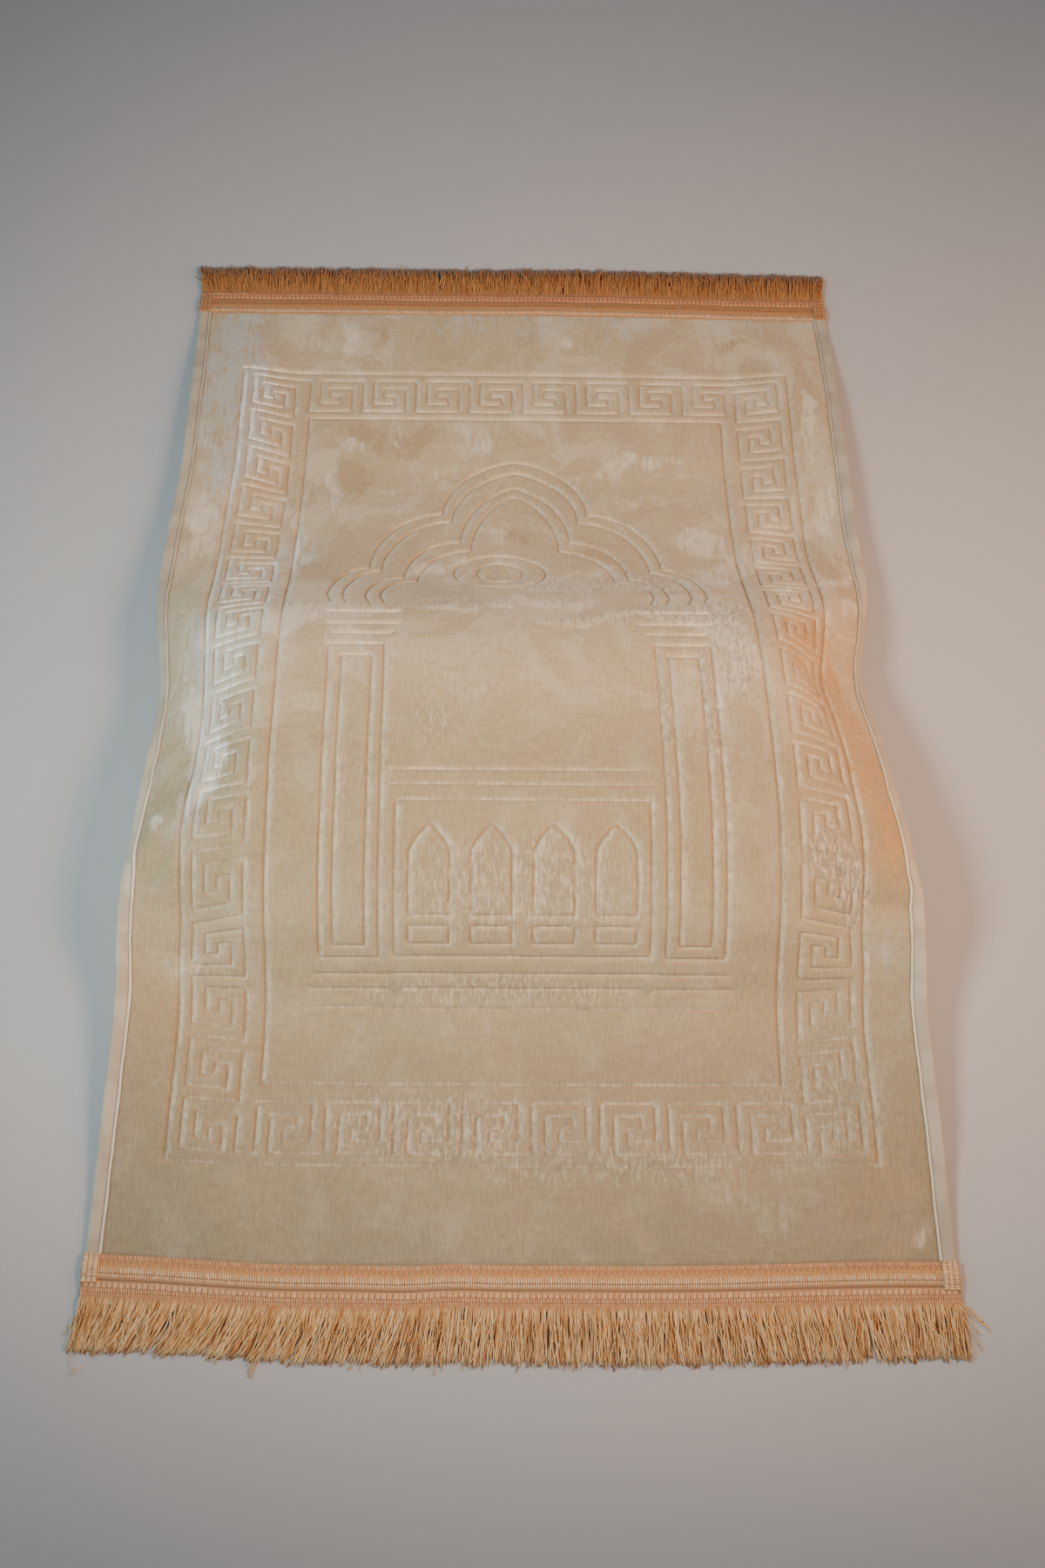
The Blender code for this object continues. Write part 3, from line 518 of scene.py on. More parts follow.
class Nodes:
    """Builds one material's node tree."""

    def __init__(self, name: str, roughness: float, sheen: float = 0.0,
                 sheen_roughness: float = 0.4, sheen_tint: Colour = (255, 255, 255)) -> None:
        """Start a material with the values that are the same all over.

        Args:
            name: the material's name.
            roughness: of its surface.
            sheen: how strongly its fibres catch grazing light.
            sheen_roughness: how widely they do.
            sheen_tint: the colour of that light.
        """
        self.material = bpy.data.materials.new(name)
        self.material.use_nodes = True
        self.tree = self.material.node_tree
        self.shader = self.tree.nodes["Principled BSDF"]
        for key, value in (("Roughness", roughness), ("Metallic", 0.0), ("Sheen Weight", sheen),
                           ("Sheen Roughness", sheen_roughness), ("Sheen Tint", sheen_tint)):
            self.put(self.shader.inputs[key], value)

    def node(self, kind: str) -> bpy.types.Node:
        """Add a node."""
        return self.tree.nodes.new(f"ShaderNode{kind}")

    def put(self, socket: Socket, value: object) -> None:
        """Link a socket to a value's output, or set it to a number or a colour."""
        if isinstance(value, Socket):
            self.tree.links.new(value, socket)
        else:
            socket.default_value = linear(value) if isinstance(value, tuple) else value

    def attribute(self, name: str) -> Socket:
        """A number kept at each point of the mesh."""
        node = self.node("Attribute")
        node.attribute_name = name
        return node.outputs["Fac"]

    def cloth_place(self, scale: tuple[float, float] = (1.0, 1.0), turn: float = 0.0) -> object:
        """The pattern place from the piece's own map, stretched and turned.

        Args:
            scale: factors across and along.
            turn: angle in degrees.

        Returns:
            The socket with the place.
        """
        node = self.node("UVMap")
        node.uv_map = "cloth"
        move = self.node("Mapping")
        self.put(move.inputs["Vector"], node.outputs["UV"])
        move.inputs["Scale"].default_value = (*scale, 1.0)
        move.inputs["Rotation"].default_value = (0, 0, math.radians(turn))
        return move.outputs["Vector"]

    def noise(self, place: object, per_metre: float, detail: float = 2.0,
              rough: float = 0.5, twist: float = 0.0) -> Socket:
        """Even noise about 0.5.

        Args:
            place: the socket with the place.
            per_metre: how many lumps a metre holds.
            detail: how many finer layers lie on it.
            rough: how strong those are.
            twist: how far it is pulled about.

        Returns:
            The socket with the value.
        """
        node = self.node("TexNoise")
        node.noise_dimensions = "2D"
        for key, value in (("Vector", place), ("Scale", per_metre), ("Detail", detail),
                           ("Roughness", rough), ("Distortion", twist)):
            self.put(node.inputs[key], value)
        return node.outputs["Fac"]

    def sum(self, operation: str, first: object, second: object) -> Socket:
        """One step of arithmetic."""
        node = self.node("Math")
        node.operation = operation
        self.put(node.inputs[0], first)
        self.put(node.inputs[1], second)
        return node.outputs[0]

    def times(self, first: object, second: object) -> Socket:
        """One value times another."""
        return self.sum("MULTIPLY", first, second)

    def plus(self, first: object, second: object) -> Socket:
        """One value added to another."""
        return self.sum("ADD", first, second)

    def sine(self, turn: object) -> Socket:
        """The sine of an angle."""
        return self.sum("SINE", turn, 0.0)

    def wave(self, value: object, pitch: float) -> Socket:
        """A sine wave along a length."""
        return self.sine(self.times(value, 2 * math.pi / pitch))

    def spread(self, value: object, low: float, high: float, new_low: float = 0.0,
               new_high: float = 1.0) -> Socket:
        """Stretch a range of values onto another, smoothly and without going past it."""
        node = self.node("MapRange")
        node.interpolation_type = "SMOOTHSTEP"
        self.put(node.inputs["Value"], value)
        for name, number in (("From Min", low), ("From Max", high),
                             ("To Min", new_low), ("To Max", new_high)):
            self.put(node.inputs[name], number)
        return node.outputs[0]

    def blend(self, share: object, first: object, second: object,
              how: str = "MIX") -> Socket:
        """Two colours mixed by a share."""
        node = self.node("Mix")
        node.data_type = "RGBA"
        node.blend_type = how
        self.put(node.inputs[0], share)
        self.put(node.inputs[6], first)
        self.put(node.inputs[7], second)
        return node.outputs[2]

    def relief(self, height: object, strength: float, distance: float,
               under: object | None = None) -> Socket:
        """Bump from a height, over an earlier one if there is one."""
        node = self.node("Bump")
        for key, value in (("Strength", strength), ("Distance", distance), ("Height", height)):
            self.put(node.inputs[key], value)
        if under is not None:
            self.put(node.inputs["Normal"], under)
        return node.outputs["Normal"]

    def done(self, colour: object, normal: object | None = None,
             roughness: object | None = None) -> Material:
        """Link what varies, and return the material."""
        self.put(self.shader.inputs["Base Color"], colour)
        if normal is not None:
            self.put(self.shader.inputs["Normal"], normal)
        if roughness is not None:
            self.put(self.shader.inputs["Roughness"], roughness)
        return self.material


@dataclass(frozen=True)
class VelourFinish:
    """Cream velour, with the nap lying several ways, and painted light and shade on it."""

    ground: tuple[tuple[float, Colour], ...] = (    # by metres along, with painted shade over the flat front and the fold's front slope
        (0.02, (150, 136, 107)), (0.16, (152, 136, 105)), (0.24, (161, 145, 111)),
        (0.31, (174, 158, 122)), (0.37, (156, 139, 103)), (0.45, (158, 141, 105)),
        (0.56, (186, 166, 130)), (0.70, (190, 169, 134)),
    )
    # deep and pale also serve as painted shade and highlight: beside grooves, at creases and crests
    deep: Colour = (170, 146, 107)
    pale: Colour = (216, 204, 177)
    # painted tints of the cool left light and the warm right light
    cool: Colour = (186, 186, 176)
    warm: Colour = (184, 142, 86)
    # painted shade: the dark line on one wall of each groove
    crease: Colour = (152, 118, 80)
    glint: Colour = (240, 240, 232)
    ruffle_dark: Colour = (152, 138, 116)

    def material(self) -> Material:
        """The velour."""
        nodes = Nodes("velour", 0.85, sheen=0.35, sheen_roughness=0.4, sheen_tint=(255, 250, 240))
        place = nodes.cloth_place()
        split = nodes.node("SeparateXYZ")
        nodes.put(split.inputs[0], place)
        ramp = nodes.node("ValToRGB")
        nodes.put(ramp.inputs[0], split.outputs[1])
        ramp.color_ramp.interpolation = "EASE"
        stops = ramp.color_ramp.elements
        for number, (along, colour) in enumerate(self.ground):
            stop = stops[number] if number < 2 else stops.new(along)
            stop.position, stop.color = along, linear(colour)
        cloud = nodes.noise(place, 7.0, 3.0, 0.55)
        patch = nodes.noise(nodes.cloth_place((1.0, 0.7), 35.0), 24.0, 3.0, 0.65)
        streak = nodes.noise(nodes.cloth_place((1.0, 0.24), 4.0), 460.0, 3.0, 0.65)
        brush = nodes.noise(nodes.cloth_place((1.0, 0.16), 12.0), 190.0, 2.0, 0.6, 0.3)
        grain = nodes.noise(place, 1100.0, 2.0, 0.6)
        rows = nodes.noise(nodes.cloth_place((0.1, 1.0)), 420.0, 1.0)
        ruffle = nodes.noise(nodes.cloth_place((1.0, 0.26), -5.0), 360.0, 2.0, 0.6, 0.5)
        waves = nodes.spread(nodes.noise(place, 17.0, 2.0), 0.5, 0.66)
        ruffled = nodes.plus(nodes.attribute("ruffled"), nodes.times(waves, 0.16))
        edge = nodes.plus(nodes.plus(nodes.times(patch, 2.6), nodes.times(brush, 2.2)), -2.4)
        swirl = nodes.noise(nodes.cloth_place((1.0, 0.75), -30.0), 11.0, 3.0, 0.6, 1.4)
        swirl = nodes.plus(swirl, nodes.times(brush, 0.12))
        colour = ramp.outputs[0]
        colour = nodes.blend(nodes.spread(cloud, 0.36, 0.64, 0.0, 0.25), colour, self.deep)
        colour = nodes.blend(nodes.spread(patch, 0.5, 0.76, 0.0, 0.13), colour, self.pale)
        loose = nodes.spread(split.outputs[1], 0.3, 0.72, 0.15, 1.0)
        for low, high, finish in ((0.60, 0.66, self.pale), (0.53, 0.47, self.deep)):
            share = nodes.times(nodes.spread(swirl, low, high, 0.0, 0.3), loose)
            colour = nodes.blend(share, colour, finish)
        # nap patches, partly painted highlight and shade, and painted tints of the side lights
        for nap, finish in ((Nap.WARM, self.warm), (Nap.COOL, self.cool),
                            (Nap.DEEP, self.deep), (Nap.PALE, self.pale)):
            strength = nodes.attribute(nap.value)
            frayed = nodes.plus(strength, nodes.times(strength, edge))
            soft = nodes.spread(frayed, 0.05, 1.5, 0.0, 0.55)
            crisp = nodes.spread(frayed, 0.5, 0.95, 0.0, 0.3)
            colour = nodes.blend(nodes.plus(soft, crisp), colour, finish)
        # painted highlight, shade and dark line beside each groove, broken up by streaks
        broken_groove_light = nodes.times(nodes.spread(streak, 0.25, 0.6, 0.3, 1.0),
                           nodes.spread(nodes.noise(place, 30.0, 2.0), 0.36, 0.6, 0.45, 1.05))
        for name, finish, share in (("pale", self.pale, 0.8), ("deep", self.deep, 0.7),
                                    ("line", self.crease, 0.75)):
            strength = nodes.times(nodes.attribute(f"groove_{name}"), broken_groove_light)
            colour = nodes.blend(nodes.times(strength, share), colour, finish)
        # painted glint where the cool left light meets the lit side of the grooves
        glint = nodes.times(nodes.attribute("groove_pale"), nodes.attribute("cool"))
        glint = nodes.times(glint, nodes.spread(brush, 0.38, 0.54, 0.25, 1.2))
        colour = nodes.blend(glint, colour, self.glint)
        dark = nodes.times(ruffled, nodes.spread(ruffle, 0.40, 0.54, 0.6, 0.0))
        light = nodes.times(ruffled, nodes.spread(ruffle, 0.5, 0.64, 0.0, 0.5))
        colour = nodes.blend(dark, colour, self.ruffle_dark)
        colour = nodes.blend(light, colour, self.pale)
        fibres = nodes.plus(nodes.times(streak, 0.5),
                            nodes.plus(nodes.times(grain, 0.3), nodes.times(rows, 0.2)))
        tone = nodes.spread(fibres, 0.3, 0.7, 0.42, 0.58)
        grey = nodes.node("CombineColor")
        for channel in range(3):
            nodes.put(grey.inputs[channel], tone)
        colour = nodes.blend(1.0, colour, grey.outputs[0], "OVERLAY")
        normal = nodes.relief(grain, 0.3, 0.4 * MM)
        normal = nodes.relief(streak, 0.3, 0.8 * MM, normal)
        normal = nodes.relief(brush, 0.25, 1.2 * MM, normal)
        normal = nodes.relief(nodes.times(ruffle, ruffled), 0.8, 1.6 * MM, normal)
        return nodes.done(colour, normal)


@dataclass(frozen=True)
class BindingFinish:
    """Smooth woven binding in pale beige, with a painted highlight on its raised line."""

    name: str = "binding"
    body: Colour = (191, 175, 149)
    shade: Colour = (176, 160, 134)
    # painted highlight on the raised line
    line: Colour = (222, 212, 190)

    def material(self) -> Material:
        """The binding."""
        nodes = Nodes(self.name, 0.62, sheen=0.2)
        place = nodes.cloth_place()
        weave = nodes.noise(nodes.cloth_place((1.0, 3.0)), 700.0, 1.0)
        cloud = nodes.noise(place, 30.0, 2.0)
        colour = nodes.blend(nodes.spread(cloud, 0.35, 0.65), self.body, self.shade)
        # painted highlight along the raised line
        colour = nodes.blend(nodes.attribute("line"), colour, self.line)
        return nodes.done(colour, nodes.relief(weave, 0.2, 0.3 * MM))


@dataclass(frozen=True)
class TapeFinish:
    """Satin tape: orange, with darker dashes, a paler thread and painted shade in its creases."""

    name: str = "tape_front"
    body: Colour = (208, 158, 102)
    dash: Colour = (172, 118, 72)
    thread: Colour = (228, 180, 126)
    crease: Colour = (126, 90, 64)
    body_pitch: float = 1.994 * MM
    dash_pitch: float = 4.74 * MM
    line_pitch: float = 1.45 * MM
    slant: float = 2400.0               # radians that the twist turns in each metre out

    def material(self) -> Material:
        """The tape's ground, under its stitches."""
        nodes = Nodes(self.name, 0.5, sheen=0.25, sheen_roughness=0.3)
        place = nodes.cloth_place()
        split = nodes.node("SeparateXYZ")
        nodes.put(split.inputs[0], place)
        across, out = split.outputs[0], split.outputs[1]
        turn = nodes.times(across, 2 * math.pi / self.body_pitch)
        slant = nodes.times(out, self.slant)
        zigzag = nodes.sine(nodes.plus(turn, slant))
        ribs = nodes.wave(out, self.line_pitch)
        dashes = nodes.spread(nodes.wave(across, self.dash_pitch), -0.8, -0.35, 0, 0.8)
        fine = nodes.noise(place, 500.0, 2.0)
        dark = nodes.times(nodes.attribute("dash"), dashes)
        colour = nodes.blend(nodes.spread(fine, 0.3, 0.7, 0.0, 0.35), self.body,
                             self.thread)
        colour = nodes.blend(nodes.spread(zigzag, -0.2, 0.9, 0.0, 0.35), colour, self.dash)
        colour = nodes.blend(nodes.spread(ribs, -0.9, 0.2, 0.3, 0.0), colour, self.dash)
        colour = nodes.blend(dark, colour, self.dash)
        # painted shade in the tape's creases
        colour = nodes.blend(nodes.attribute("crease"), colour, self.crease)
        normal = nodes.relief(ribs, 0.3, 0.25 * MM)
        normal = nodes.relief(zigzag, 0.35, 0.25 * MM, normal)
        return nodes.done(colour, normal)


@dataclass(frozen=True)
class StitchFinish:
    """Silky stitches, on the tapes, the headings and the bindings."""

    name: str
    body: Colour
    shade: Colour

    def material(self) -> Material:
        """The stitches, each a little lighter or darker than the next."""
        nodes = Nodes(self.name, 0.45, sheen=0.2)
        colour = nodes.blend(nodes.attribute("tone"), self.shade, self.body)
        return nodes.done(colour)


@dataclass(frozen=True)
class YarnFinish:
    """Golden cut yarn: upper tips frayed and pale, partly painted highlight; lower strands in
    painted shade.
    """

    name: str
    body: Colour = (230, 176, 104)
    deep: Colour = (170, 106, 48)
    pale: Colour = (252, 220, 164)
    tip: Colour = (244, 216, 168)
    root: Colour = (212, 152, 106)
    tip_shade: float = 0.75             # how dark the painted shade on the lowest strands' tips is

    def material(self) -> Material:
        """The yarn."""
        nodes = Nodes(self.name, 0.42, sheen=0.15)
        tone = nodes.attribute("tone")
        reach = nodes.attribute("reach")
        # darker lower strands: painted shade under the upper ones
        colour = nodes.blend(nodes.spread(tone, 0.0, 0.55), self.deep, self.body)
        colour = nodes.blend(nodes.spread(tone, 0.6, 1.0), colour, self.pale)
        # painted highlights and shade along the strands
        gleam = nodes.noise(nodes.cloth_place((1.0, 0.14)), 330.0, 2.0)
        colour = nodes.blend(nodes.spread(gleam, 0.5, 0.68, 0.0, 0.4), colour, self.pale)
        colour = nodes.blend(nodes.spread(gleam, 0.5, 0.34, 0.0, 0.35), colour, self.deep)
        # painted shade on the tips of the lowest strands
        shaded = nodes.times(nodes.spread(reach, 0.8, 1.0),
                             nodes.spread(tone, 0.5, 0.1, 0.0, self.tip_shade))
        colour = nodes.blend(shaded, colour, self.deep)
        # pale frayed tips of the upper strands, partly painted highlight
        frayed = nodes.times(nodes.spread(reach, 0.84, 1.0),
                             nodes.spread(tone, 0.35, 0.8, 0.0, 0.9))
        colour = nodes.blend(frayed, colour, self.tip)
        colour = nodes.blend(nodes.spread(reach, 0.0, 0.13, 0.8, 0.0), colour, self.root)
        return nodes.done(colour)


@dataclass(frozen=True)
class FloorFinish:
    """A plain pale floor."""

    body: Colour = (188, 187, 185)

    def material(self) -> Material:
        """The floor."""
        nodes = Nodes("floor", 0.75)
        return nodes.done(self.body)


# ---- Mesh helpers ----

def make_piece(name: str, points: np.ndarray, faces: list, material: Material,
               numbers: dict[str, np.ndarray] | None = None, cloth: np.ndarray | None = None,
               sharp: float | None = None) -> Piece:
    """Make a named mesh object.

    Args:
        name: the piece's name.
        points: its points in space.
        faces: its faces, as rows of point numbers.
        material: its finish.
        numbers: numbers kept at each point, for the finish to read.
        cloth: each point's pattern place in metres, kept as the map named cloth.
        sharp: angle in degrees past which an edge stays sharp, or None for smooth all over.

    Returns:
        The object.
    """
    data = bpy.data.meshes.new(name)
    data.from_pydata(points.tolist(), [], faces)
    for key, values in (numbers or {}).items():
        layer = data.attributes.new(key, "FLOAT", "POINT")
        layer.data.foreach_set("value", values.astype(np.float32))
    if cloth is not None:
        layer = data.uv_layers.new(name="cloth")
        corners = np.zeros(len(data.loops), dtype=np.int32)
        data.loops.foreach_get("vertex_index", corners)
        layer.data.foreach_set("uv", cloth[corners].astype(np.float32).ravel())
    data.materials.append(material)
    data.shade_smooth()
    if sharp is not None:
        data.set_sharp_from_angle(angle=math.radians(sharp))
    data.update()
    piece = bpy.data.objects.new(name, data)
    bpy.context.scene.collection.objects.link(piece)
    return piece


def face_out(piece: Piece) -> None:
    """Turn a closed mesh's faces outwards."""
    mesh = bmesh.new()
    mesh.from_mesh(piece.data)
    bmesh.ops.recalc_face_normals(mesh, faces=mesh.faces)
    mesh.to_mesh(piece.data)
    mesh.free()


def carry(piece: Piece, slot: Slot, *nodes: str) -> Piece:
    """Tie a piece to the rug.

    Args:
        piece: the piece.
        slot: the record's material slot; not used.
        nodes: the solids that it stands for.

    Returns:
        The piece.
    """
    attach(piece, "root")
    if nodes:
        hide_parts(*nodes)
    log.info("%s: %d faces", piece.name, len(piece.data.polygons))
    return piece


def sweep_faces(rows: int, wide: int) -> list:
    """Faces of a closed section swept along rows of points, with both ends capped.

    Args:
        rows: how many sections it has.
        wide: how many points a section has.

    Returns:
        The faces, as point numbers.
    """
    made = []
    last = (rows - 1) * wide
    for start in range(0, last, wide):
        for column in range(wide):
            a, b = start + column, start + (column + 1) % wide
            made.append((a, b, b + wide, a + wide))
    return made + [tuple(range(wide)), tuple(last + i for i in reversed(range(wide)))]


def sweep_piece(name: str, points: np.ndarray, wide: int, material: Material,
                numbers: dict[str, np.ndarray], cloth: np.ndarray) -> Piece:
    """Make a closed section swept along rows of points, with its corners kept sharp.

    Args:
        name: the piece's name.
        points: the rows' points in space, one row after another.
        wide: how many points a section has.
        material: its finish.
        numbers: numbers kept at each point, for the finish to read.
        cloth: each point's pattern place in metres.

    Returns:
        The object, its faces turned outwards.
    """
    piece = make_piece(name, points, sweep_faces(len(points) // wide, wide), material, numbers,
                       cloth, sharp=60)
    face_out(piece)
    return piece


# ---- The velour panel ----

class Patch(NamedTuple):
    """Where the nap lies another way or light is painted: middle, half sizes in mm, turn, strength.
    """

    across: float
    along: float
    half_across: float
    half_along: float
    turn: float
    strength: float


@dataclass
class VelourPanel:
    """The embossed velour, one cut length."""

    folds: Folds
    design: Design
    finish: VelourFinish = field(default_factory=VelourFinish)
    thickness: float = 5.0 * MM
    cut_edge: float = 349.2 * MM
    lap: float = 23 * MM
    pile_end: float = 336.3 * MM
    shoulder: float = 3.5 * MM
    side_margin: float = 3.9 * MM
    end_margin: float = 3.0 * MM
    under_margin: float = 1.1 * MM
    groove_step: float = 6.0 * MM
    fill_step: float = 7.2 * MM
    under_step: float = 26 * MM
    clear: float = 5.8 * MM
    cell: float = 14 * MM               # of the table in which nearby points are looked up
    reach: float = 8 * MM               # how far from a groove they are looked for
    edge_counts: tuple[int, int] = (70, 123)        # steps of the cut edge, across and along
    margin_counts: tuple[int, int] = (113, 197)     # points of a margin's row, across and along
    margin_shares: tuple[float, ...] = (0.0, 0.12, 0.32, 0.6, 1.0)
    rows: tuple[float, ...] = (0.0, 0.15, 0.34, 0.60, 0.92, 1.25)     # in half groove widths
    # the rows of Patch for each Nap, named by its value
    # partly nap, partly painted highlight: the lit band along the crest, the sheen on the left
    # border
    pale: tuple[Row, ...] = (
        (-215, 1140, 46, 34, 0, 0.45), (-180, 1140, 13, 40, 4, 0.5), (75, 1135, 44, 20, 5, 0.45),
        (296, 1120, 26, 34, 0, 0.45), (-168, 972, 8, 42, 52, 0.8), (-127, 992, 7, 26, 20, 0.55),
        (-190, 905, 7, 40, 14, 1.0), (-96, 925, 9, 62, -62, 0.6), (-38, 992, 22, 26, -14, 1.0),
        (-314, 822, 19, 62, 0, 0.9), (-328, 950, 10, 70, 0, 0.6), (-216, 812, 10, 84, 0, 0.75),
        (-270, 770, 30, 34, 0, 0.5), (118, 950, 12, 74, -72, 0.75), (150, 892, 13, 56, -70, 0.6),
        (184, 820, 28, 40, 10, 1.05), (196, 745, 22, 30, 0, 0.8), (262, 860, 26, 90, 0, 0.4),
        (314, 1000, 12, 70, 4, 0.9), (322, 872, 11, 50, 0, 1.1), (312, 752, 8, 30, -60, 1.3),
        (322, 712, 12, 34, -20, 0.6), (-22, 826, 10, 26, -20, 0.7), (-74, 768, 13, 34, -56, 1.2),
        (-14, 776, 12, 10, 0, 0.8), (84, 748, 60, 10, 0, 0.65), (20, 708, 40, 9, 8, 0.7),
        (150, 724, 44, 10, 0, 0.6), (12, 668, 66, 15, 4, 1.25), (-80, 655, 46, 8, 4, 0.9),
        (-205, 640, 88, 24, 16, 1.15), (-150, 600, 34, 30, 0, 0.45), (84, 638, 74, 9, 11, 0.9),
        (170, 650, 54, 26, 0, 1.0), (196, 592, 24, 50, 0, 1.1), (266, 700, 22, 34, -35, 0.8),
        (-280, 540, 24, 110, 0, 1.2), (-318, 408, 9, 9, 0, 1.2), (-312, 560, 6, 60, 8, 0.9),
        (228, 784, 24, 36, 0, 0.9), (-262, 285, 60, 46, 0, 0.5), (205, 60, 60, 40, 0, 0.4),
        (150, 530, 20, 66, 0, 0.35), (-90, 40, 60, 26, 0, 0.25), (330, 26, 14, 10, 0, 0.6),
    )
    # partly nap, partly painted shade: the crest crease's shadow line at 701, the left-edge crease
    deep: tuple[Row, ...] = (
        (-154, 1150, 15, 24, 0, 0.8), (237, 1136, 13, 14, 30, 0.95), (-130, 986, 62, 26, 0, 0.95),
        (-222, 905, 20, 36, 0, 0.95), (-170, 925, 22, 34, 12, 0.95),
        (-318, 1010, 12, 40, 20, 0.5), (60, 900, 60, 14, -12, 0.35), (316, 794, 22, 13, -20, 0.9),
        (-190, 752, 26, 50, 0, 0.7), (-262, 700, 30, 20, 10, 0.7), (-328, 740, 16, 36, 0, 0.5),
        (70, 786, 34, 16, 0, 1.1), (8, 832, 18, 22, 30, 0.8), (-30, 730, 28, 12, 20, 0.7),
        (-90, 708, 52, 34, 0, 1.1), (150, 701, 70, 3.6, 0, 1.4), (-62, 622, 44, 12, 4, 0.5),
        (200, 617, 10, 9, 0, 2.2), (284, 470, 8, 60, 16, 0.6), (-300, 338, 46, 9, 5, 0.9),
        (-218, 56, 28, 46, 0, 0.6), (60, 30, 120, 22, 0, 0.4),
    )
    ruffled: tuple[Row, ...] = (
        (170, 655, 66, 26, 0, 0.8), (198, 590, 24, 70, 0, 0.8), (128, 520, 7, 66, 0, 0.7),
        (168, 520, 9, 70, 0, 0.8), (90, 720, 100, 30, 0, 0.7), (-10, 675, 90, 12, 2, 0.8),
        (60, 636, 70, 12, 11, 0.6), (-76, 500, 22, 26, 20, 0.6), (262, 378, 26, 20, 20, 1.0),
        (284, 350, 18, 28, 0, 1.2), (0, 345, 120, 46, 0, 0.6), (-20, 250, 130, 16, 0, 0.7),
        (-80, 125, 90, 36, 0, 0.7), (60, 90, 130, 22, 0, 0.5), (250, 150, 60, 60, 0, 0.4),
    )
    # painted tint of the cool left light on the left-facing pile
    cool: tuple[Row, ...] = (
        (-284, 540, 26, 120, 0, 1.4), (-332, 570, 24, 140, 0, 0.5), (-262, 640, 60, 60, 0, 0.5),
        (-262, 730, 44, 66, 0, 0.6), (-304, 1040, 50, 170, 0, 1.1), (60, 1168, 330, 24, 0, 0.55),
        (-216, 790, 22, 44, 0, 0.8), (-300, 410, 20, 30, 0, 0.5), (190, 560, 12, 90, 0, 0.6),
        (318, 296, 26, 36, 0, 0.45),
    )
    # painted tint of the warm right light on the right-facing slopes
    warm: tuple[Row, ...] = (
        (336, 900, 8, 230, 0, 0.5), (318, 470, 30, 118, 4, 0.85), (284, 600, 34, 90, 14, 1.1),
        (262, 520, 44, 130, 0, 0.35), (300, 60, 60, 80, 0, 0.45),
    )

    def build(self) -> Piece:
        """Make the panel, with both faces and its cut edge.

        Returns:
            The panel.
        """
        loop = self.outline()
        grooves = self.lines()
        spots = list(loop)
        edges = [(i, (i + 1) % len(loop)) for i in range(len(loop))]
        for line, closed in grooves:
            self.add_rows(spots, edges, line, closed)
        self.add_margins(spots, edges)
        net = self.filling(self.fill_step)
        free = self.reach_of(net, grooves)[0] > self.clear
        spots += [tuple(p) for p in net[free]]
        log.info("velour: %d points on its face", len(spots))
        top, faces = self.filled(spots, edges)
        depth, shade = self.pressed(top, grooves)
        level = self.top_level(top) - depth
        under_spots = list(loop) + [tuple(p) for p in self.filling(self.under_step)]
        under, under_faces = self.filled(under_spots, edges[:len(loop)])
        points = np.vstack([self.folds.lay(top[:, 0], top[:, 1], level),
                            self.folds.lay(under[:, 0], under[:, 1], self.under_level(under))])
        first = len(top)
        made = [tuple(face) for face in faces]
        made += [tuple(first + i for i in reversed(face)) for face in under_faces]
        rims = [self.find(loop, top), [first + i for i in self.find(loop, under)]]
        for i in range(len(loop)):
            j = (i + 1) % len(loop)
            made.append((rims[1][i], rims[1][j], rims[0][j], rims[0][i]))
        numbers = self.nap(top)
        numbers.update(shade)
        plain = np.zeros(len(under))
        numbers = {key: np.concatenate([values, plain]) for key, values in numbers.items()}
        piece = make_piece("velour_panel_cloth", points, made, self.finish.material(), numbers,
                           np.vstack([top, under]), sharp=75)
        return carry(piece, Slot.VELOUR, "velour_panel")

    def outline(self) -> list[tuple[float, float]]:
        """The cut edge, anticlockwise from the front left corner."""
        front, back = self.folds.front_edge - self.lap, self.folds.back_edge + self.lap
        steps_across, steps_along = self.edge_counts
        across = np.linspace(-self.cut_edge, self.cut_edge, steps_across, endpoint=False)
        along = np.linspace(front, back, steps_along, endpoint=False)
        loop = [(a, front) for a in across] + [(self.cut_edge, b) for b in along]
        loop += [(-a, back) for a in across] + [(-self.cut_edge, front + back - b) for b in along]
        return [(float(a), float(b)) for a, b in loop]

    def lines(self) -> list:
        """Each groove, cut into short steps.

        Returns:
            For each, its points with half width and depth in two more columns, and whether closed.
        """
        made = []
        for groove in self.design.grooves():
            points = groove.points
            ends = points[1:] + points[:1] if groove.closed else points[1:]
            fine = []
            for start, end in zip(points, ends):
                parts = max(1, math.ceil(math.dist(start, end) / self.groove_step))
                for part in range(parts):
                    t = part / parts
                    fine.append((start[0] + (end[0] - start[0]) * t,
                                 start[1] + (end[1] - start[1]) * t))
            if not groove.closed:
                fine.append(points[-1])
            line = np.zeros((len(fine), 4))
            line[:, :2] = fine
            line[:, 2], line[:, 3] = groove.width / 2, groove.depth
            made.append((line, groove.closed))
        return made

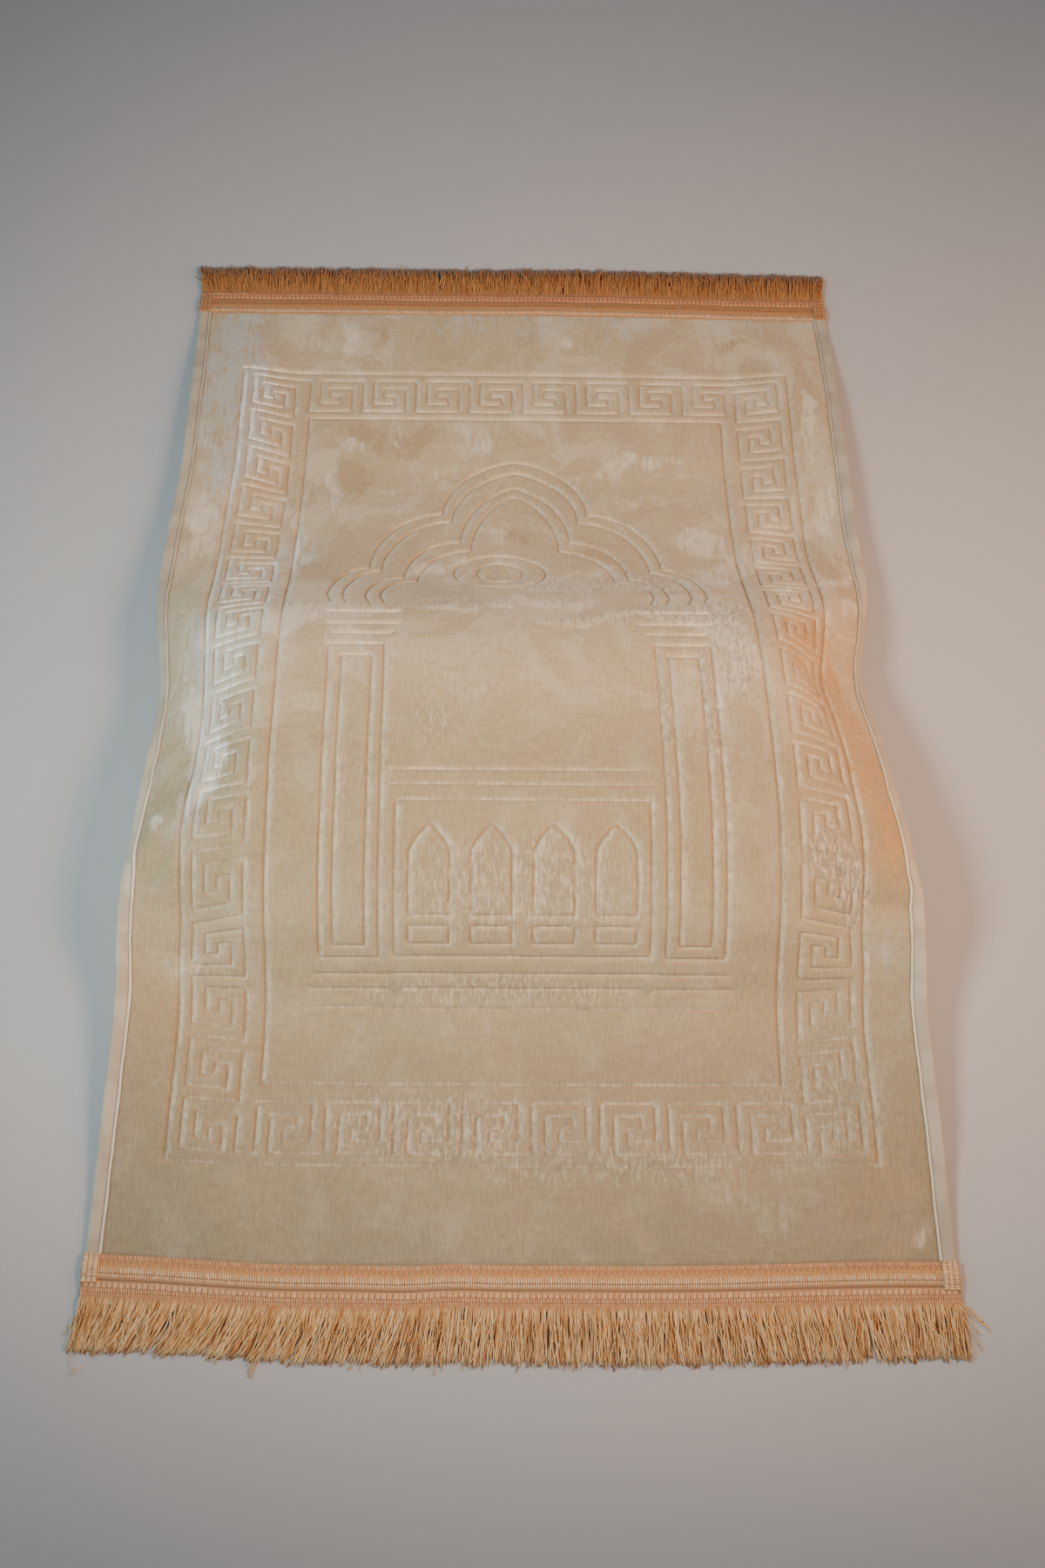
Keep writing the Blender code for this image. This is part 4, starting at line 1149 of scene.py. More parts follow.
    def add_rows(self, spots: list, edges: list, line: np.ndarray, closed: bool) -> None:
        """Add a groove's rows of points, on its middle and beside it.

        Args:
            spots: all pattern points so far, added to.
            edges: all kept lines so far, added to.
            line: the groove's points.
            closed: whether it closes.
        """
        here = line[:, :2]
        ahead = np.roll(here, -1, axis=0) - here
        behind = here - np.roll(here, 1, axis=0)
        if not closed:
            ahead[-1] = behind[-1]
            behind[0] = ahead[0]
        ahead /= np.linalg.norm(ahead, axis=1, keepdims=True)
        behind /= np.linalg.norm(behind, axis=1, keepdims=True)
        mean = (ahead + behind) / 2
        side = np.stack([-mean[:, 1], mean[:, 0]], axis=1) / (mean ** 2).sum(1, keepdims=True)
        for share in self.rows:
            for way in ((1,) if share == 0 else (-1, 1)):
                shift = way * share * line[0, 2]
                moved = here + side * shift
                kept = self.off_line(moved, here, closed) > abs(shift) - 0.1 * MM
                number = {}
                for i in np.flatnonzero(kept):
                    number[i] = len(spots)
                    spots.append((float(moved[i, 0]), float(moved[i, 1])))
                for i in range(len(here) - (0 if closed else 1)):
                    j = (i + 1) % len(here)
                    if i in number and j in number:
                        edges.append((number[i], number[j]))

    def off_line(self, points: np.ndarray, line: np.ndarray, closed: bool) -> np.ndarray:
        """How far each moved point of a line is from the nearby steps of the same line."""
        count = len(line)
        least = np.full(count, np.inf)
        for shift in range(-3, 3):
            starts = (np.arange(count) + shift) % count
            ends = (starts + 1) % count
            if not closed:
                inside = (np.arange(count) + shift >= 0) & (np.arange(count) + shift < count - 1)
            else:
                inside = np.ones(count, bool)
            run = line[ends] - line[starts]
            size = np.maximum((run ** 2).sum(1), 1e-12)
            t = np.clip(((points - line[starts]) * run).sum(1) / size, 0, 1)
            far = np.linalg.norm(points - line[starts] - run * t[:, None], axis=1)
            least = np.where(inside, np.minimum(least, far), least)
        return least

    def add_margins(self, spots: list, edges: list) -> None:
        """Add the rows over which the pile rounds down to the bindings and the tapes."""
        across = np.linspace(-self.pile_end, self.pile_end, self.margin_counts[0])
        along = np.linspace(self.folds.front_edge, self.folds.back_edge, self.margin_counts[1])
        rows = [[(side * (self.pile_end - s * self.shoulder), b) for b in along]
                for side in (-1, 1) for s in self.margin_shares]
        rows += [[(a, end + way * s * self.shoulder) for a in across]
                 for end, way in ((self.folds.front_edge, 1), (self.folds.back_edge, -1))
                 for s in self.margin_shares]
        for row in rows:
            first = len(spots)
            spots += [(float(a), float(b)) for a, b in row]
            edges += [(first + i, first + i + 1) for i in range(len(row) - 1)]

    def filling(self, step: float) -> np.ndarray:
        """Points on an even staggered net inside the cut edge."""
        inset = 4 * MM
        low = self.folds.front_edge - self.lap + inset
        high = self.folds.back_edge + self.lap - inset
        made = []
        for row, along in enumerate(np.arange(low, high, step * 0.87)):
            across = np.arange(-self.cut_edge + inset + (row % 2) * step / 2,
                               self.cut_edge - inset, step)
            made.append(np.stack([across, np.full(len(across), along)], axis=1))
        return np.vstack(made)

    def filled(self, spots: list, edges: list) -> tuple[np.ndarray, list]:
        """Fill the outline with triangles that keep the given lines."""
        found = delaunay_2d_cdt([Vector(p) for p in spots], edges, [], 0, 1e-6, False)
        places = np.array([tuple(p) for p in found[0]])
        middles = np.array([places[list(face)].mean(0) for face in found[2]])
        inside = np.abs(middles[:, 0]) < self.cut_edge
        return places, [face for face, kept in zip(found[2], inside) if kept]

    def find(self, loop: list, places: np.ndarray) -> list[int]:
        """The numbers of the outline's points among all."""
        scale = 0.02 * MM
        numbers = {(round(a / scale), round(b / scale)): i for i, (a, b) in enumerate(places)}
        return [numbers[(round(a / scale), round(b / scale))] for a, b in loop]

    def reach_of(self, points: np.ndarray, lines: list) -> tuple[np.ndarray, ...]:
        """The nearest groove to each point.

        Args:
            points: pattern points.
            lines: the grooves.

        Returns:
            Distance to it, the way to it as two columns, and its half width and depth.
        """
        keys = np.floor(points / self.cell).astype(int)
        order = np.lexsort((keys[:, 1], keys[:, 0]))
        table: dict[tuple[int, int], list[int]] = {}
        for i in order:
            table.setdefault((keys[i, 0], keys[i, 1]), []).append(i)
        cells = {key: np.array(value) for key, value in table.items()}
        least = np.full(len(points), 1.0)
        way = np.zeros((len(points), 2))
        form = np.tile((4.2 * MM, 0.0), (len(points), 1))
        for line, closed in lines:
            count = len(line)
            for i in range(count if closed else count - 1):
                start, end = line[i, :2], line[(i + 1) % count, :2]
                low = np.floor((np.minimum(start, end) - self.reach) / self.cell).astype(int)
                high = np.floor((np.maximum(start, end) + self.reach) / self.cell).astype(int)
                found = [cells[(a, b)] for a in range(low[0], high[0] + 1)
                         for b in range(low[1], high[1] + 1) if (a, b) in cells]
                if not found:
                    continue
                index = np.concatenate(found)
                run = end - start
                t = np.clip((points[index] - start) @ run / (run @ run), 0, 1)
                off = points[index] - start - t[:, None] * run
                far = np.hypot(off[:, 0], off[:, 1])
                closer = far < least[index]
                index = index[closer]
                least[index] = far[closer]
                way[index] = off[closer]
                form[index] = line[i, 2:]
        return least, way, form

    def pressed(self, points: np.ndarray, lines: list) -> tuple[np.ndarray, dict]:
        """How deep the design is pressed, and the painted highlight and shade beside it.

        Along the rug a groove has painted highlight to its right, and painted shade with a dark
        painted line to its left.  Across the rug it has painted highlight on its middle and painted
        shade towards the camera.  The widths are in mm.

        Args:
            points: pattern points.
            lines: the grooves.

        Returns:
            Depths, and the numbers that the finish reads.
        """
        least, way, form = self.reach_of(points, lines)
        share = np.clip(1 - least / form[:, 0], 0, 1)
        depth = form[:, 1] * (0.55 * share ** 2 + 0.45 * share ** 3.2)
        unit = way / np.maximum(least, 1e-5)[:, None]
        sideways = np.abs(unit[:, 0]) > np.abs(unit[:, 1])
        beside = least < 10 * MM
        signed = least / MM * np.sign(unit[:, 0])
        ahead = least / MM * np.sign(unit[:, 1])
        numbers = {
            "groove_pale": np.where(sideways, 0.75 * smooth_step((signed + 0.2) / 1.6)
                                    * (1 - smooth_step((signed - 2.2) / 5.0)),
                                    0.8 * np.exp(-((ahead - 0.3) / 1.1) ** 2)),
            "groove_deep": np.where(sideways, 0.3 * np.exp(-((signed + 3.2) / 2.2) ** 2),
                                    0.55 * smooth_step(-(ahead + 0.6) / 1.2)
                                    * (1 - smooth_step((-ahead - 2.5) / 4.5))),
            "groove_line": np.where(sideways, 0.75 * np.exp(-((signed + 0.5) / 0.75) ** 2), 0.0),
        }
        return depth, {key: values * beside for key, values in numbers.items()}

    def top_level(self, points: np.ndarray) -> np.ndarray:
        """Height of the velour over its underside, without the design."""
        sideways = (self.pile_end - np.abs(points[:, 0])) / self.shoulder
        endways = np.minimum(points[:, 1] - self.folds.front_edge,
                             self.folds.back_edge - points[:, 1]) / self.shoulder
        level = np.full(len(points), self.thickness)
        for share, margin in ((sideways, self.side_margin), (endways, self.end_margin)):
            round_down = 1 - (1 - np.clip(share, 0, 1)) ** 2
            level = np.minimum(level, margin + (self.thickness - margin) * round_down)
        return level

    def under_level(self, points: np.ndarray) -> np.ndarray:
        """Height of the underside, which is thinner in the bindings."""
        return np.where(np.abs(points[:, 0]) > self.pile_end - 2 * MM, self.under_margin, 0.0)

    def nap(self, points: np.ndarray) -> dict[str, np.ndarray]:
        """How strongly each nap and painted light patch shows at each point, with wandering edges.
        """
        found = {nap.value: np.zeros(len(points)) for nap in Nap}
        places = points / MM
        wide, long = places.T
        strayed = places.copy()
        strayed[:, 0] += 6 * np.sin(long / 19 + 0.8 * np.sin(wide / 37))
        strayed[:, 0] += 3 * np.sin(long / 6.5 + wide / 23)
        strayed[:, 1] += 8 * np.sin(wide / 15 + long / 61)
        strayed[:, 1] += 4 * np.sin(wide / 5.6 + long / 29)
        for nap in Nap:
            for row in (Patch(*values) for values in getattr(self, nap.value)):
                turn = math.radians(row.turn)
                least = min(row.half_across, row.half_along)
                loose = 0.0 if nap is Nap.RUFFLED else min(1.0, least / 12)
                off = places + (strayed - places) * loose - (row.across, row.along)
                across = (off[:, 0] * math.cos(turn) + off[:, 1] * math.sin(turn)) / row.half_across
                along = (off[:, 1] * math.cos(turn) - off[:, 0] * math.sin(turn)) / row.half_along
                far = np.hypot(across, along)
                found[nap.value] += row.strength * (1 - smooth_step((far - 0.55) / 0.75))
        return {key: np.clip(values, 0, 1.4) for key, values in found.items()}


# ---- Bindings ----

@dataclass
class SideBinding:
    """A strip folded round one long edge, with a raised line and stitches on its inner side."""

    folds: Folds
    side: int
    finish: BindingFinish = field(default_factory=BindingFinish)
    width: float = 13.4
    slot_low: float = 0.8
    slot_top: float = 4.2
    end_gap: float = 0.3 * MM
    step: float = 4 * MM
    stitch_pitch: float = 3.1 * MM
    stitch_in: float = 10.75 * MM
    stitch_level: float = 4.75 * MM

    def profile(self) -> list[tuple[float, float, float]]:
        """Section: in from the edge and level in mm, and share of the raised line's painted
        highlight.
        """
        wide, slot_top = self.width, self.slot_top
        return [
            (wide, 0.05, 0), (6.0, 0.0, 0), (1.2, 0.0, 0), (0.3, 0.5, 0), (0.0, 1.6, 0),
            (0.0, 3.4, 0), (0.4, 4.5, 0), (1.4, 5.05, 0), (3.5, 5.25, 0), (6.5, 5.3, 0),
            (9.4, 5.15, 0), (10.3, 4.75, 0), (10.7, 4.4, 0.2), (11.1, 4.75, 0.8),
            (11.5, 5.6, 1), (12.2, 6.1, 1), (12.9, 5.9, 1), (13.3, 5.2, 1), (wide, slot_top, 1),
            (0.9, slot_top, 0), (0.9, self.slot_low, 0), (wide, self.slot_low, 0),
        ]

    def build(self) -> Piece:
        """Sweep the section along the edge.

        Returns:
            The binding.
        """
        profile = np.array(self.profile())
        rows = round(self.folds.shown_length / self.step)
        along = np.linspace(self.folds.front_edge + self.end_gap,
                            self.folds.back_edge - self.end_gap, rows)
        waver = 0.25 * np.sin(along / (17 * MM)) + 0.2 * np.sin(along / (7.3 * MM) + 1)
        inward = profile[None, :, 0] + waver[:, None] * profile[None, :, 2]
        level = np.tile(profile[:, 1], (rows, 1))
        level += 0.12 * np.sin(along / (5 * MM))[:, None] * (profile[None, :, 1] > 4.3)
        across = self.side * (self.folds.edge - inward * MM)
        places = np.repeat(along, len(profile))
        points = self.folds.lay(across.ravel(), places, level.ravel() * MM)
        name = "left" if self.side < 0 else "right"
        piece = sweep_piece(f"side_binding_{name}_strip", points, len(profile),
                            self.finish.material(),
                            {"line": np.outer(self.shown(along), profile[:, 2]).ravel()},
                            np.stack([across.ravel(), places], axis=1))
        return carry(piece, Slot.BINDING, f"side_binding_{name}")

    def shown(self, along: np.ndarray) -> np.ndarray:
        """How strongly the raised line's painted highlight shows: bright at the front, fading
        behind.
        """
        return 0.3 + 0.7 * (1 - smooth_step((along - 300 * MM) / (400 * MM)))

    def stitches(self, bar: bpy.types.Mesh) -> Piece:
        """The small stitches that hold the strip down, in the dip beside the raised line."""
        count = int(self.folds.shown_length / self.stitch_pitch)
        along = self.folds.front_edge + (np.arange(count) + 0.5) * self.stitch_pitch
        across = np.full(count, self.side * (self.folds.edge - self.stitch_in))
        spots = Spots(across, along, self.stitch_level, 0.08 * self.side, (0.35, 0.62), 0.5)
        name = "left" if self.side < 0 else "right"
        finish = StitchFinish(f"binding_stitch_{name}", (176, 164, 142), (146, 132, 110))
        return Stitches(self.folds).lay(f"side_binding_{name}_stitches", bar, spots,
                                        finish.material(), Slot.BINDING)


# ---- Stitches ----

class StitchRow(NamedTuple):
    """A row of stitches, in mm out from the tape's inner edge, and its two colours."""

    name: str
    out: float
    level: float
    width: float
    length: float
    height: float
    body: Colour
    shade: Colour
    pitch: float = 1.994
    turn: float = 0.0


class Unevenness(NamedTuple):
    """How far stitches stray: across and out in mm, then their turn, stretch and tone."""

    across: float
    out: float
    turn: float
    stretch: float
    tone: float


@dataclass
class Spots:
    """Where stitches lie: a place, level, turn, pair of stretches and tone for each, or for all."""

    across: np.ndarray
    along: np.ndarray
    level: np.ndarray | float
    turn: np.ndarray | float
    stretch: np.ndarray | tuple[float, float]
    tone: np.ndarray | float


@dataclass
class Stitches:
    """Small stitches, modelled once and copied along the cloth."""

    folds: Folds

    def bar(self, name: str, width: float, length: float, height: float) -> bpy.types.Mesh:
        """Model one stitch flat at the origin, across by along by up.

        Args:
            name: the shape's name.
            width: its size across.
            length: its size along.
            height: its size up.

        Returns:
            The mesh, to be copied.
        """
        bpy.ops.object.select_all(action="DESELECT")
        bpy.ops.mesh.primitive_cylinder_add(vertices=6, radius=width / 2, depth=length,
                                            rotation=(math.pi / 2, 0, 0))
        stitch = bpy.context.object
        stitch.name = name
        bpy.ops.object.transform_apply(location=True, rotation=True, scale=True)
        bpy.ops.object.mode_set(mode="EDIT")
        bpy.ops.mesh.select_mode(type="FACE")
        bpy.ops.mesh.select_all(action="DESELECT")
        mesh = bmesh.from_edit_mesh(stitch.data)
        for face in mesh.faces:
            face.select_set(abs(face.normal.y) > 0.9)
        bmesh.update_edit_mesh(stitch.data)
        bpy.ops.mesh.inset(thickness=width * 0.22, depth=0.0)
        bpy.ops.transform.resize(value=(1.0, 1.16, 1.0))
        bpy.ops.mesh.select_all(action="SELECT")
        bpy.ops.transform.resize(value=(1.0, 1.0, height / width))
        bpy.ops.object.mode_set(mode="OBJECT")
        data = stitch.data
        bpy.data.objects.remove(stitch, do_unlink=True)
        return data

    def strayed(self, rng: Random, across: np.ndarray, out: np.ndarray,
                along: Callable, level: np.ndarray | float, uneven: Unevenness,
                turn: float = 0.0) -> Spots:
        """Spots that stray a little from their places.

        Args:
            rng: the random draws.
            across: places across the cloth.
            out: places out from the tape's inner edge.
            along: turns those into places along the cloth.
            level: heights over the cloth's underside.
            uneven: how far they stray.
            turn: how far they are turned, in radians.

        Returns:
            The spots.
        """
        count = len(across)
        return Spots(across + rng.normal(0, uneven.across * MM, count),
                     along(across, out + rng.normal(0, uneven.out * MM, count)),
                     level, turn + rng.normal(0, uneven.turn, count),
                     rng.normal(1.0, uneven.stretch, (count, 2)),
                     np.clip(rng.normal(0.6, uneven.tone, count), 0, 1))

    def lay(self, name: str, shape: bpy.types.Mesh, spots: Spots,
            material: Material, slot: Slot) -> Piece:
        """Copy a stitch to each spot.

        Args:
            name: the piece's name.
            shape: the stitch.
            spots: where the copies lie.
            material: the finish.
            slot: the record's material slot.

        Returns:
            The piece.
        """
        corners = np.zeros(len(shape.vertices) * 3)
        shape.vertices.foreach_get("co", corners)
        corners = corners.reshape(-1, 3)
        count = len(spots.across)
        turn = np.broadcast_to(spots.turn, count)[:, None]
        stretch = np.broadcast_to(spots.stretch, (count, 2))
        wide = corners[None, :, 0] * stretch[:, :1]
        long = corners[None, :, 1] * stretch[:, 1:]
        across = spots.across[:, None] + wide * np.cos(turn) - long * np.sin(turn)
        along = spots.along[:, None] + wide * np.sin(turn) + long * np.cos(turn)
        level = np.broadcast_to(spots.level, count)[:, None] + corners[None, :, 2]
        points = self.folds.lay(across.ravel(), along.ravel(), level.ravel())
        outlines = [tuple(face.vertices) for face in shape.polygons]
        faces = [tuple(first + i for i in outline)
                 for first in range(0, len(points), len(corners)) for outline in outlines]
        tone = np.repeat(np.broadcast_to(spots.tone, count), len(corners))
        piece = make_piece(name, points, faces, material, {"tone": tone},
                           np.stack([across.ravel(), along.ravel()], axis=1))
        return carry(piece, slot)


# ---- End tapes ----

@dataclass
class EndTape:
    """The ribbed tape over one end, with its own ends turned down over the corners."""

    folds: Folds
    end: End
    finish: TapeFinish
    rows: tuple[StitchRow, ...]
    half_width: float = 350.8 * MM
    turned: float = 13 * MM
    turned_rise: float = 1.3
    rib_pitch: float = 2.1
    rib_length: float = 1.55
    step: float = 4 * MM
    profile: tuple[tuple[float, float, float, float], ...] = (
        # out, level, dash share, crease shade share (painted shade in the dips)
        (-0.2, 3.2, 0, 0), (0.2, 4.8, 0, 0.3), (1.0, 5.0, 0, 0.4), (3.4, 5.0, 0, 0.4),
        (4.4, 4.8, 0.3, 0), (4.9, 4.75, 1, 0), (7.0, 4.75, 1, 0), (7.5, 4.85, 0, 0),
        (10.6, 5.0, 0, 0), (11.3, 4.9, 0, 0.35), (15.0, 4.9, 0, 0.55), (15.7, 4.7, 0, 0.9),
        (16.3, 4.8, 0, 0.5), (18.3, 4.7, 0, 0.3), (19.0, 4.5, 0, 0.15), (20.0, 4.0, 0, 0.4),
        (20.6, 3.6, 0, 1), (21.2, 3.8, 0, 0.8), (21.9, 4.0, 0, 0.3), (23.4, 4.1, 0, 0.2),
        (24.4, 3.6, 0, 0),
    )
    underside: tuple[tuple[float, float, float, float], ...] = (
        (24.4, 0.05, 0, 0), (22.9, 0.05, 0, 0), (22.9, 3.1, 0, 0), (-0.2, 3.0, 0, 0),
    )

    def place_along(self, across: np.ndarray, out: np.ndarray) -> np.ndarray:
        """Where a place out from the tape's inner edge is along the cloth, with its waver."""
        waver = self.waver(across) * MM
        if self.end is End.FRONT:
            return self.folds.front_edge + waver - out
        return self.folds.back_edge + waver + out

    def waver(self, across: np.ndarray) -> np.ndarray:
        """How far the tape strays from its line, in mm towards the back."""
        if self.end is End.BACK:
            return 0.5 * np.sin(across / (61 * MM))
        bump = np.exp(-((across + 53 * MM) / (26 * MM)) ** 2)
        dip = np.exp(-((across + 96 * MM) / (22 * MM)) ** 2)
        corner = np.exp(-((across + 351 * MM) / (17 * MM)) ** 2)
        return 1.1 * bump - 0.6 * dip + 0.35 * np.sin(across / (43 * MM) + 1) + 1.2 * corner

    def rise(self, across: np.ndarray) -> np.ndarray:
        """How much prouder the tape stands, at its turned ends and where it ripples, in mm."""
        past = (np.abs(across) - (self.half_width - self.turned)) / MM
        block = self.turned_rise * smooth_step(past + 0.5)
        lip = 0.8 * np.exp(-((past - 1.2) / 1.1) ** 2)
        ripple = 0.35 * np.sin(across / (19 * MM)) * np.sin(across / (47 * MM) + 0.6)
        return block + lip + ripple

    def build(self) -> Piece:
        """Sweep the tape's section across the end.

        Returns:
            The tape's ground.
        """
        profile = np.array(self.profile + self.underside)
        turn = self.half_width - self.turned
        ends = turn + np.array([self.turned, self.turned - 1 * MM, 6 * MM, 1 * MM,
                                0.3 * MM, -0.5 * MM])
        across = np.concatenate([-ends, np.arange(-turn + 3 * MM, turn - 2 * MM, self.step),
                                 ends[::-1]])
        rows, wide = len(across), len(profile)
        out = np.tile(profile[:, 0], (rows, 1)) * MM
        spread = np.repeat(across, wide)
        raised = profile[:, 1] > 3.15
        level = np.tile(profile[:, 1], (rows, 1)) + self.rise(across)[:, None] * raised
        block = np.abs(across) > turn
        over = block[:, None] & (profile[None, :, 1] < 3.3)
        level = np.where(over, np.minimum(level, 0.05), level)
        points = self.folds.lay(spread, self.place_along(spread, out.ravel()), level.ravel() * MM)
        name = f"end_tape_{self.end.value}"
        shares = {"dash": np.tile(profile[:, 2], rows), "crease": np.tile(profile[:, 3], rows)}
        piece = sweep_piece(f"{name}_ground", points, wide, self.finish.material(), shares,
                            np.stack([spread, out.ravel()], axis=1))
        return carry(piece, Slot.TAPE, name)

    def stitch_rows(self, rng: Random) -> list[Piece]:
        """The rows of silky bars that run across the tape."""
        made = []
        maker = Stitches(self.folds)
        for row in self.rows:
            bar = maker.bar(f"{row.name}_bar", row.width * MM, row.length * MM, row.height * MM)
            count = int(2 * (self.half_width - 0.6 * MM) / (row.pitch * MM))
            across = (np.arange(count) - (count - 1) / 2) * row.pitch * MM
            across = across[np.abs(across) < self.half_width - self.turned - 0.6 * MM]
            spots = maker.strayed(rng, across, np.full(len(across), row.out * MM),
                                  self.place_along, (row.level + self.rise(across)) * MM,
                                  Unevenness(0.06, 0.1, 0.05, 0.05, 0.28), row.turn)
            finish = StitchFinish(f"tape_{row.name}_{self.end.value}", row.body, row.shade)
            name = f"end_tape_{self.end.value}_{row.name}_stitches"
            made.append(maker.lay(name, bar, spots, finish.material(), Slot.TAPE))
        made.append(self.turned_ribs(maker, rng))
        return made

    def turned_ribs(self, maker: Stitches, rng: Random) -> Piece:
        """The short ribs that show where the tape's own ends are turned down.

        Args:
            maker: lays copies along the cloth.
            rng: the random draws.

        Returns:
            The ribs.
        """
        row = self.rows[-1]
        bar = maker.bar("rib_bar", 4.1 * MM, self.rib_length * MM, 0.9 * MM)
        columns = self.half_width - np.array([2.6, 6.9, 11.2]) * MM
        across, out = np.meshgrid(np.concatenate([-columns, columns]),
                                  np.arange(1.6, 23.0, self.rib_pitch) * MM)
        across, out = across.ravel(), out.ravel()
        ground = np.interp(out / MM, [p[0] for p in self.profile], [p[1] for p in self.profile])
        spots = maker.strayed(rng, across, out, self.place_along,
                              (ground + 0.15 + self.rise(across)) * MM,
                              Unevenness(0.12, 0.1, 0.06, 0.04, 0.25))
        name = self.end.value
        finish = StitchFinish(f"tape_ribs_{name}", row.body, row.shade)
        return maker.lay(f"end_tape_{name}_ribs", bar, spots, finish.material(), Slot.TAPE)


# ---- Fringes ----

class Lean(NamedTuple):
    """How the strands lie at a place across: lean in degrees to the right as they go out."""

    across: float
    degrees: float
    bend: float


class Layer(NamedTuple):
    """A layer of strands: how wide apart, how high in mm, how pale, and how uneven its lean."""

    spacing: float
    lift: float
    tone: float
    spread: float


class Stray(NamedTuple):
    """A strand placed by itself: root and tip in mm, how far out, its bow and its tip's level."""

    root: float
    tip: float
    out: float
    bow: float
    level: float = 0.55
    start: float = 32.0


